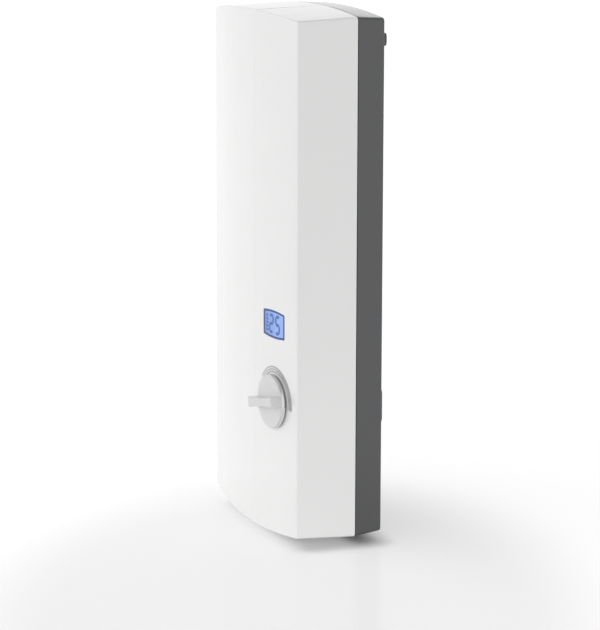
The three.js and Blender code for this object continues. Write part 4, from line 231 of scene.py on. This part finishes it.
# The panel has its full brightness from bright_from on, as a share of the window's half width.
PANEL = {
    "dim": (0.13, 0.245, 0.56),
    "bright": (0.25, 0.39, 0.8),
    "bright_from": 0.4,
    "uneven_scale": 70.0,
    "uneven": (0.8, 1),
    "glow": 0.3,
    "roughness": 0.35,
}

# The record's other material slots. A plastic's grain is the scale of its surface noise.
PLASTICS = {
    "white_cover": {
        "colour": (0.9, 0.9, 0.895),
        "roughness": 0.34,
        "grain": 2200,
        "height": 0.012,
        "mottle": 0.004,
        "coat": 1.0,
    },
    "dark_shell": {
        "colour": (0.041, 0.042, 0.045),
        "roughness": 0.36,
        "grain": 1500,
        "height": 0.03,
        "mottle": 0.03,
        "coat": 1.0,
    },
    "grey_knob": {
        "colour": (0.73, 0.73, 0.73),
        "roughness": 0.34,
        "height": 0.01,
        "mottle": 0.008,
        "coat": 0.3,
    },
    "dark_rim": {"colour": (0.1, 0.1, 0.105), "roughness": 0.34, "mottle": 0.02},
    "coated_steel": {
        "colour": (0.1, 0.102, 0.11),
        "roughness": 0.6,
        "grain": 1200,
        "height": 0.1,
        "mottle": 0.05,
    },
    "black_plastic": {
        "colour": (0.028, 0.029, 0.032),
        "roughness": 0.5,
        "height": 0.06,
        "mottle": 0.06,
    },
    "block_plastic": {
        "colour": (0.5, 0.51, 0.52),
        "roughness": 0.55,
        "height": 0.08,
        "mottle": 0.05,
    },
    "white_inner": {"colour": (0.8, 0.8, 0.77), "roughness": 0.48, "height": 0.03},
    "red_plastic": {"colour": (0.42, 0.035, 0.025), "roughness": 0.36},
    "red_wire": {"colour": (0.4, 0.03, 0.02), "roughness": 0.42},
    "black_wire": {"colour": (0.03, 0.03, 0.035), "roughness": 0.42},
    "rubber": {
        "colour": (0.04, 0.04, 0.042),
        "roughness": 0.82,
        "grain": 900,
        "height": 0.12,
        "mottle": 0.08,
    },
}
METALS = {
    "steel": {"colour": (0.55, 0.56, 0.57), "roughness": 0.34},
    "brass": {"colour": (0.62, 0.43, 0.15), "roughness": 0.33, "tarnish": 0.25},
    "copper": {"colour": (0.66, 0.3, 0.16), "roughness": 0.3, "tarnish": 0.35},
    "aluminium": {"colour": (0.66, 0.67, 0.69), "roughness": 0.36},
}

# The finishes of the pieces made here.
BORDER_BLUE = (0.06, 0.088, 0.28)
DIGIT_BLUE = (0.085, 0.175, 0.47)
SCALE_GREY = (0.44, 0.44, 0.445)
BAND_METAL = {"colour": (0.74, 0.74, 0.745), "roughness": 0.13, "tarnish": 0.03}


def connect(tree, node, sockets):
    """Gives each socket of a node a constant, or a link from another node's output."""
    for name, value in sockets.items():
        if isinstance(value, bpy.types.NodeSocket):
            tree.links.new(value, node.inputs[name])
        else:
            node.inputs[name].default_value = value


def add_node(tree, kind, sockets, **settings):
    """Adds a node. Its settings come first, because some of its sockets depend on them."""
    node = tree.nodes.new(kind)
    for name, value in settings.items():
        setattr(node, name, value)
    connect(tree, node, sockets)
    return node


def calculate(tree, operation, first, second):
    node = add_node(tree, "ShaderNodeMath", {0: first, 1: second}, operation=operation)
    return node.outputs[0]


def vector_step(tree, operation, *vectors):
    return add_node(tree, "ShaderNodeVectorMath", dict(enumerate(vectors)), operation=operation)


def map_range(tree, value, source, target, interpolation="LINEAR"):
    sockets = {
        "From Min": source[0],
        "From Max": source[1],
        "To Min": target[0],
        "To Max": target[1],
        "Value": value,
    }
    node = add_node(tree, "ShaderNodeMapRange", sockets, interpolation_type=interpolation)
    return node.outputs["Result"]


def map_smoothly(tree, value, ramp):
    return map_range(tree, value, *ramp, "SMOOTHSTEP")


def coordinates(tree, kind):
    return tree.nodes.new("ShaderNodeTexCoord").outputs[kind]


def object_space(tree, scale=(1, 1, 1), turn=(0, 0, 0)):
    sockets = {"Scale": scale, "Rotation": turn, "Vector": coordinates(tree, "Object")}
    return add_node(tree, "ShaderNodeMapping", sockets).outputs["Vector"]


def noise(tree, vector, scale, detail=2.0):
    sockets = {"Scale": scale, "Detail": detail, "Vector": vector}
    return add_node(tree, "ShaderNodeTexNoise", sockets).outputs["Fac"]


def spread(tree, value, low, high):
    """Maps noise onto a range of values."""
    return map_range(tree, value, NOISE_RANGE, (low, high))


def blend_colours(tree, value, first, second):
    sockets = {"A": (*first, 1), "B": (*second, 1), "Factor": value}
    return add_node(tree, "ShaderNodeMix", sockets, data_type="RGBA").outputs["Result"]


def shaded(colour, share):
    return tuple(channel * share for channel in colour)


def mottle_colour(tree, value, colour, darker, lighter):
    """Varies a colour by noise, down and up by the given shares of it."""
    low, high = shaded(colour, 1 - darker), shaded(colour, 1 + lighter)
    return blend_colours(tree, spread(tree, value, 0, 1), low, high)


def relief(tree, shader, value, strength, distance):
    sockets = {"Strength": strength, "Distance": distance, "Height": value}
    bump = add_node(tree, "ShaderNodeBump", sockets)
    connect(tree, shader, {"Normal": bump.outputs["Normal"]})


def make_material(name):
    made = bpy.data.materials.new(name)
    made.use_nodes = True
    tree = made.node_tree
    return made, tree, tree.nodes["Principled BSDF"]


def plastic(name, colour, roughness, grain=1800, height=0.02, mottle=0.015, coat=0.0):
    """Moulded plastic: a fine spark grain, and a faint unevenness in colour and gloss."""
    made, tree, shader = make_material(name)
    vector = object_space(tree)
    fine = noise(tree, vector, grain, PLASTIC["grain_detail"])
    broad = noise(tree, vector, PLASTIC["mottle_scale"])
    gloss = noise(tree, vector, PLASTIC["gloss_scale"])
    change = PLASTIC["gloss_spread"]
    connect(tree, shader, {
        "IOR": PLASTIC["ior"],
        "Coat Weight": coat,
        "Coat Roughness": PLASTIC["coat_roughness"],
        "Base Color": mottle_colour(tree, broad, colour, mottle, mottle),
        "Roughness": spread(tree, gloss, roughness - change, roughness + change),
    })
    relief(tree, shader, fine, height, PLASTIC["grain_depth"])
    return made


def metal(name, colour, roughness, tarnish=0.12):
    """Drawn, pressed or turned metal, with streaks along its working direction and some tarnish."""
    made, tree, shader = make_material(name)
    stretched = object_space(tree, METAL["stretch"])
    lines = noise(tree, stretched, METAL["streak_scale"], METAL["streak_detail"])
    broad = noise(tree, object_space(tree), METAL["tarnish_scale"], METAL["tarnish_detail"])
    low, high = roughness - METAL["smoother"], roughness + METAL["rougher"]
    connect(tree, shader, {
        "Metallic": 1,
        "Base Color": mottle_colour(tree, broad, colour, tarnish, 0),
        "Roughness": spread(tree, lines, low, high),
    })
    relief(tree, shader, lines, METAL["streak_height"], METAL["streak_depth"])
    return made


def circuit_board(name):
    """Solder mask over raised tracks, which show lighter through it."""
    made, tree, shader = make_material(name)
    tracks = add_node(tree, "ShaderNodeTexBrick", {
        "Scale": BOARD["scale"],
        "Mortar Size": BOARD["track_width"],
        "Color1": BOARD["mask"][0],
        "Color2": BOARD["mask"][1],
        "Mortar": BOARD["track"],
        "Vector": object_space(tree, turn=BOARD["turn"]),
    })
    gloss = noise(tree, object_space(tree), BOARD["gloss_scale"])
    connect(tree, shader, {
        "Base Color": tracks.outputs["Color"],
        "Roughness": spread(tree, gloss, *BOARD["roughness"]),
    })
    relief(tree, shader, tracks.outputs["Fac"], BOARD["height"], BOARD["depth"])
    return made


def clear_window(name):
    """Clear acrylic: seen through, with gloss and a trace of blue."""
    made, tree, shader = make_material(name)
    gloss = noise(tree, object_space(tree), CLEAR["gloss_scale"])
    connect(tree, shader, {
        "Base Color": CLEAR["colour"],
        "Alpha": CLEAR["alpha"],
        "IOR": CLEAR["ior"],
        "Roughness": spread(tree, gloss, *CLEAR["roughness"]),
    })
    made.blend_method = "BLEND"
    return made


def lit_panel(name):
    """The backlight of the display, brighter towards the right and a little uneven."""
    made, tree, shader = make_material(name)
    vector = object_space(tree)
    split = add_node(tree, "ShaderNodeSeparateXYZ", {"Vector": vector})
    left = WINDOW["x"] - WINDOW["half_width"]
    right = WINDOW["x"] + WINDOW["half_width"] * PANEL["bright_from"]
    across = map_range(tree, split.outputs["X"], (left, right), (0, 1))
    uneven = spread(tree, noise(tree, vector, PANEL["uneven_scale"]), *PANEL["uneven"])
    share = calculate(tree, "MULTIPLY", across, uneven)
    tone = blend_colours(tree, share, PANEL["dim"], PANEL["bright"])
    connect(tree, shader, {
        "Base Color": tone,
        "Emission Color": tone,
        "Emission Strength": PANEL["glow"],
        "Roughness": PANEL["roughness"],
    })
    return made


def print_ink(name, colour):
    made, tree, shader = make_material(name)
    fine = noise(tree, object_space(tree), INK["grain"])
    tone = mottle_colour(tree, fine, colour, INK["mottle"], INK["mottle"])
    connect(tree, shader, {"Base Color": tone, "Roughness": INK["roughness"]})
    return made


def slot_materials():
    return {
        **{name: plastic(name, **look) for name, look in PLASTICS.items()},
        **{name: metal(name, **look) for name, look in METALS.items()},
        "clear_window": clear_window("clear_window"),
        "display_blue": lit_panel("display_blue"),
        "circuit_board": circuit_board("circuit_board"),
    }


def dress_nodes(materials):
    slot_of = {part["node"]: part["material_slot"] for part in frame["record"]["subparts"]}
    for name, node in frame["nodes"].items():
        node.data.materials.clear()
        node.data.materials.append(materials[slot_of[name]])


def shade_smooth(thing):
    for polygon in thing.data.polygons:
        polygon.use_smooth = True


def soften(node, edges):
    """Rounds the sharp edges of a carried-over solid a little, and shades its curves smoothly."""
    shade_smooth(node)
    weld = node.modifiers.new("weld", "WELD")
    weld.merge_threshold = WELD_GAP
    if edges["merged"]:
        flat = node.modifiers.new("flat", "DECIMATE")
        flat.decimate_type = "DISSOLVE"
        flat.angle_limit = math.radians(FLAT_DEGREES)
    if edges["width"] > 0:
        bevel = node.modifiers.new("bevel", "BEVEL")
        bevel.width = edges["width"]
        bevel.segments = ROUNDING_SEGMENTS
        bevel.use_clamp_overlap = edges["limited"]
        bevel.limit_method = "ANGLE"
        bevel.angle_limit = math.radians(edges["rounded"])
    split = node.modifiers.new("split", "EDGE_SPLIT")
    split.split_angle = math.radians(edges["sharp"])
    even = node.modifiers.new("even", "WEIGHTED_NORMAL")
    even.mode = "FACE_AREA_WITH_ANGLE"


def soften_nodes():
    for name, node in frame["nodes"].items():
        soften(node, EDGES.get(name, COMMON_EDGES))


def link(thing):
    bpy.context.scene.collection.objects.link(thing)


def mesh_object(name, vertices, faces, material):
    mesh = bpy.data.meshes.new(name)
    mesh.from_pydata([tuple(v) for v in vertices], [], faces)
    mesh.update()
    mesh.materials.append(material)
    made = bpy.data.objects.new(name, mesh)
    link(made)
    return made


def mesh_piece(name, vertices, faces, material, body):
    piece = mesh_object(name, vertices, faces, material)
    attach(piece, body)
    return piece


def front_depth(x):
    """How far the cover's front stands out from the wall at a given x."""
    share = x / HALF_WIDTH
    depth = FRONT_EDGE_DEPTH + BULGE * (1 - share * share)
    if x > STEP_X:
        depth += STEP_RISE * (1 - (x - STEP_X) / (HALF_WIDTH - STEP_X))
    return depth


def window_half_height(x, sides, ends):
    """Half the window's height at x from its middle, inside a border of the given widths."""
    w = WINDOW["half_width"] - sides
    r = WINDOW["corner"]
    share = min(1, abs(x) / w)
    half = WINDOW["half_height"] - ends + WINDOW["bow"] * (1 - share * share)
    past = abs(x) - (w - r)
    if past > 0 and sides < r:
        half -= r - math.sqrt(max(0, r * r - past * past))
    return half


def panel_half_height(x):
    return window_half_height(x, WINDOW["gap"], WINDOW["gap"])


def panel_bottom(x):
    return -panel_half_height(x)


def border_half_height(x):
    """Half the height of the border's opening at x from its middle."""
    return window_half_height(x, WINDOW["border_sides"], WINDOW["border_ends"])


def on_window(x, z, lift):
    """A place on the lit panel, or lifted off it, given from the window's middle."""
    place = WINDOW["x"] + x
    return Vector((place, -(front_depth(place) - WINDOW["set_back"] + lift), WINDOW["z"] + z))


def window_band(places, low, high, lift):
    """A thin skin that follows the window's curve, between two heights at each place."""
    vertices = []
    for x in places:
        vertices += [on_window(x, low(x), lift), on_window(x, high(x), lift)]
    faces = [[2 * i, 2 * i + 2, 2 * i + 3, 2 * i + 1] for i in range(len(places) - 1)]
    return vertices, faces


def columns(first, last, count):
    return [first + (last - first) * i / count for i in range(count + 1)]


def display_face(material):
    """The lit panel, flush under the window's own surface."""
    w = WINDOW["half_width"] - WINDOW["gap"]
    places = columns(-w, w, WINDOW["columns"])
    vertices, faces = window_band(places, panel_bottom, panel_half_height, 0)
    return mesh_piece("display_face", vertices, faces, material, "cover")


def display_border(material):
    """The dark frame printed round the lit panel: its two sides, its top and its bottom."""
    w = WINDOW["half_width"] - WINDOW["gap"]
    inner = WINDOW["half_width"] - WINDOW["border_sides"]
    left = columns(-w, -inner, WINDOW["side_columns"])
    middle = columns(-inner, inner, WINDOW["columns"])
    right = columns(inner, w, WINDOW["side_columns"])
    bands = [
        (left, panel_bottom, panel_half_height),
        (right, panel_bottom, panel_half_height),
        (middle, border_half_height, panel_half_height),
        (middle, panel_bottom, lambda x: -border_half_height(x)),
    ]
    vertices, faces = [], []
    for places, low, high in bands:
        more, more_faces = window_band(places, low, high, WINDOW["layer"])
        faces += [[i + len(vertices) for i in face] for face in more_faces]
        vertices += more
    return mesh_piece("display_border", vertices, faces, material, "cover")


def segment_boxes():
    """Each bar of a seven-part digit as its centre, half length and direction."""
    w, h = DIGIT["width"] / 2, DIGIT["height"] / 2
    return {
        "a": (0, h, w, "across"),
        "g": (0, 0, w, "across"),
        "d": (0, -h, w, "across"),
        "f": (-w, h / 2, h / 2, "up"),
        "b": (w, h / 2, h / 2, "up"),
        "e": (-w, -h / 2, h / 2, "up"),
        "c": (w, -h / 2, h / 2, "up"),
    }


def bar_outline(x, z, reach, direction):
    """A bar with pointed ends, so that neighbouring bars meet at a mitre."""
    s = DIGIT["stroke"] / 2
    r = reach - DIGIT["gap"]
    points = [(-r, 0), (-r + s, s), (r - s, s), (r, 0), (r - s, -s), (-r + s, -s)]
    if direction == "up":
        points = [(-b, a) for a, b in points]
    return [(x + a + DIGIT["slant"] * (z + b), z + b) for a, b in points]


def digit_outlines():
    boxes = segment_boxes()
    return [
        [(offset + x, z) for x, z in bar_outline(*boxes[bar])]
        for digit, offset in DIGITS
        for bar in SEGMENTS[digit]
    ]


def mark_outlines():
    """A column of plain marks that grow longer downwards."""
    outlines = []
    for row in range(MARKS["count"]):
        z = ((MARKS["count"] - 1) / 2 - row) * MARKS["pitch"]
        half = MARKS["half_width"] * (MARKS["first_share"] + MARKS["growth"] * row)
        low, high = z - MARKS["half_height"], z + MARKS["half_height"]
        left, right = MARKS["x"] - half, MARKS["x"] + half
        outlines.append([(left, low), (right, low), (right, high), (left, high)])
    return outlines


def display_digits(material):
    vertices, faces = [], []
    for outline in digit_outlines() + mark_outlines():
        faces.append(list(range(len(vertices), len(vertices) + len(outline))))
        vertices += [on_window(x, z, WINDOW["layer"]) for x, z in outline]
    return mesh_piece("display_digits", vertices, faces, material, "cover")


def knob_centre():
    joint = next(j for j in frame["joints"] if j["name"] == "knob_turn")
    return Vector(joint["pos_m"])


def knob_band(material):
    """The bright band round the knob's disc, drawn about the knob's axis as it stands at rest."""
    steps = BAND["steps"]
    centre = knob_centre()
    lean = math.atan(2 * BULGE * centre.x / (HALF_WIDTH * HALF_WIDTH))
    outward = Vector((math.sin(lean), -math.cos(lean), 0))
    across = Vector((-outward.y, outward.x, 0))
    foot = Vector((centre.x, -front_depth(centre.x), centre.z))
    vertices = []
    for radius, height in BAND["profile"]:
        for i in range(steps):
            turn = math.radians(360 * i / steps)
            sideways = across * math.cos(turn) + UP * math.sin(turn)
            vertices.append(foot + outward * height + sideways * radius)
    rows = len(BAND["profile"])
    faces = [
        [
            row * steps + i,
            row * steps + (i + 1) % steps,
            (row + 1) % rows * steps + (i + 1) % steps,
            (row + 1) % rows * steps + i,
        ]
        for row in range(rows)
        for i in range(steps)
    ]
    piece = mesh_piece("knob_band", vertices, faces, material, "knob")
    shade_smooth(piece)
    piece.data.set_sharp_from_angle(angle=math.radians(BAND["sharp"]))
    return piece


def knob_scale(material):
    """The printed scale round the knob."""
    centre = knob_centre()
    steps = SCALE["steps"]
    turn = SCALE["end_degrees"] - SCALE["start_degrees"]
    vertices, faces = [], []
    for first, last in zip(SCALE["first_radii"], SCALE["last_radii"]):
        start = len(vertices)
        for i in range(steps + 1):
            share = i / steps
            angle = math.radians(SCALE["start_degrees"] + share * turn)
            radius = first + (last - first) * share
            widened = min(1, SCALE["widening"] * share) ** SCALE["power"]
            half = SCALE["thin"] + (SCALE["wide"] - SCALE["thin"]) * widened
            for r in (radius - half, radius + half):
                x = centre.x + r * math.cos(angle)
                z = centre.z + r * math.sin(angle)
                vertices.append((x, -front_depth(x) - SCALE["lift"], z))
        faces += [
            [start + 2 * i, start + 2 * i + 1, start + 2 * i + 3, start + 2 * i + 2]
            for i in range(steps)
        ]
    return mesh_piece("knob_scale", vertices, faces, material, "cover")


def aimed(place):
    """The turn of a camera or lamp that stands at a place and looks where the camera looks."""
    return (CAMERA["aim"] - place).to_track_quat("-Z", "Y")


def make_camera():
    data = bpy.data.cameras.new("camera")
    data.lens = CAMERA["lens"]
    data.sensor_width = CAMERA["sensor"]
    data.clip_start = CAMERA["near"]
    data.clip_end = CAMERA["far"]
    camera = bpy.data.objects.new("camera", data)
    link(camera)
    look = aimed(CAMERA["place"]).to_matrix().to_4x4()
    roll = Matrix.Rotation(math.radians(CAMERA["roll"]), 4, "Z")
    camera.matrix_world = Matrix.Translation(CAMERA["place"]) @ look @ roll
    bpy.context.scene.camera = camera


def make_lamp():
    data = bpy.data.lights.new("key", "AREA")
    data.shape = "DISK"
    data.size = KEY_LAMP["size"]
    data.energy = KEY_LAMP["power"]
    lamp = bpy.data.objects.new("key", data)
    lamp.location = KEY_LAMP["place"]
    lamp.rotation_euler = aimed(KEY_LAMP["place"]).to_euler()
    link(lamp)


def seen_directly(tree):
    """One for a ray that comes from the camera, a reflection or a clear pane."""
    path = tree.nodes.new("ShaderNodeLightPath")
    largest = path.outputs["Is Camera Ray"]
    for other in ("Is Glossy Ray", "Is Transmission Ray"):
        largest = calculate(tree, "MAXIMUM", largest, path.outputs[other])
    return largest


def background(tree, strength):
    sockets = {"Color": WHITE, "Strength": strength}
    return add_node(tree, "ShaderNodeBackground", sockets).outputs["Background"]


def make_world():
    """A bright band round the horizon and a dim ceiling. Seen directly, the band is plain white."""
    world = bpy.data.worlds.new("world")
    bpy.context.scene.world = world
    world.use_nodes = True
    tree = world.node_tree
    tree.nodes.clear()
    split = add_node(tree, "ShaderNodeSeparateXYZ", {"Vector": coordinates(tree, "Generated")})
    height = split.outputs["Z"]
    away = calculate(tree, "MULTIPLY", split.outputs["Y"], FRONT_GAIN)
    gain = calculate(tree, "SUBTRACT", 1, away)
    light = calculate(tree, "MULTIPLY", gain, map_smoothly(tree, height, WORLD_LIGHT))
    mix = add_node(tree, "ShaderNodeMixShader", {
        "Fac": seen_directly(tree),
        1: background(tree, light),
        2: background(tree, map_smoothly(tree, height, WORLD_SHOWN)),
    })
    add_node(tree, "ShaderNodeOutputWorld", {"Surface": mix.outputs["Shader"]})


def reach_from_shade_pool(tree, place):
    """Distance from the middle of the painted shade pool, where one is its rim."""
    ahead = CAMERA["aim"] - CAMERA["place"]
    direction = Vector((ahead.x, ahead.y, 0)).normalized()
    sockets = {
        "Location": -SHADE_POOL["nearer"] * direction,
        "Rotation": (0, 0, math.atan2(-direction.x, direction.y)),
        "Scale": (*SHADE_POOL["half"], 1),
        "Vector": place,
    }
    shade_pool = add_node(tree, "ShaderNodeMapping", sockets, vector_type="TEXTURE")
    return vector_step(tree, "LENGTH", shade_pool.outputs["Vector"]).outputs["Value"]


def reach_from_foot(tree, place):
    """Distance from the place under the casing, on the floor's own axes."""
    offset = (FOOT["place"][0] - cad_middle.x, FOOT["place"][1] - cad_middle.y, 0)
    away = place
    for operation, *others in (
        ("SUBTRACT", offset),
        ("ABSOLUTE",),
        ("SUBTRACT", FOOT["half"]),
        ("MAXIMUM", (0, 0, 0)),
    ):
        away = vector_step(tree, operation, away, *others).outputs["Vector"]
    return vector_step(tree, "LENGTH", away).outputs["Value"]


def floor_glow(tree):
    """The glow's strength. Seen directly: the pool's painted shade, and no glow at the foot, a painted
    shadow. For other rays: painted bounce light, a glow near the foot that lights the object from below.
    """
    place = coordinates(tree, "Object")
    from_shade_pool = reach_from_shade_pool(tree, place)
    from_foot = reach_from_foot(tree, place)
    # Seen directly, the floor is darker inside the pool: painted shade round the object.
    shade_pool = map_smoothly(tree, from_shade_pool, SHADE_POOL_GLOW)
    shown = calculate(tree, "ADD", shade_pool, map_smoothly(tree, from_shade_pool, FAR_GLOW))
    # Painted shadow: no glow under the casing, so the floor there shows darker.
    shown = calculate(tree, "MULTIPLY", shown, map_smoothly(tree, from_foot, PAINTED_FOOT_SHADOW))
    direct = seen_directly(tree)
    indirect = calculate(tree, "SUBTRACT", 1, direct)
    # Painted bounce light: for rays that don't come from the camera, the floor near the foot glows and
    # lights the object from below.
    painted_bounce = calculate(tree, "MULTIPLY", indirect, map_smoothly(tree, from_foot, PAINTED_BOUNCE_GLOW))
    return calculate(tree, "ADD", calculate(tree, "MULTIPLY", direct, shown), painted_bounce)


def floor_material():
    """Pale paper with a trace of gloss. It keeps the shadow, and its glow is added to it; the glow holds
    painted shade, a painted shadow at the foot and painted bounce light.
    """
    made, tree, shader = make_material("floor")
    connect(tree, shader, {
        "Base Color": FLOOR["colour"],
        "Roughness": FLOOR["roughness"],
        "Specular IOR Level": 0,
    })
    gloss = add_node(tree, "ShaderNodeBsdfAnisotropic", {"Roughness": FLOOR["gloss_roughness"]})
    paper = add_node(tree, "ShaderNodeMixShader", {
        "Fac": FLOOR["gloss"],
        1: shader.outputs["BSDF"],
        2: gloss.outputs["BSDF"],
    })
    glow = add_node(tree, "ShaderNodeEmission", {"Strength": floor_glow(tree)})
    sockets = {0: paper.outputs["Shader"], 1: glow.outputs["Emission"]}
    total = add_node(tree, "ShaderNodeAddShader", sockets)
    connect(tree, tree.nodes["Material Output"], {"Surface": total.outputs["Shader"]})
    return made


def make_floor():
    """A wide floor whose own origin is under the object's middle."""
    h = FLOOR["half"]
    corners = [(-h, -h, 0), (h, -h, 0), (h, h, 0), (-h, h, 0)]
    floor = mesh_object("floor", corners, [[0, 1, 2, 3]], floor_material())
    floor.location = (cad_middle.x, cad_middle.y, cad_box[0].z - FLOOR["gap"])


make_camera()
make_world()
make_lamp()
make_floor()

slots = slot_materials()
dress_nodes(slots)
soften_nodes()

display_face(slots["display_blue"])
display_border(print_ink("border_blue", BORDER_BLUE))
display_digits(print_ink("digit_blue", DIGIT_BLUE))
knob_scale(print_ink("scale_grey", SCALE_GREY))
knob_band(metal("knob_band", **BAND_METAL))

bpy.context.scene.view_settings.view_transform = "Standard"
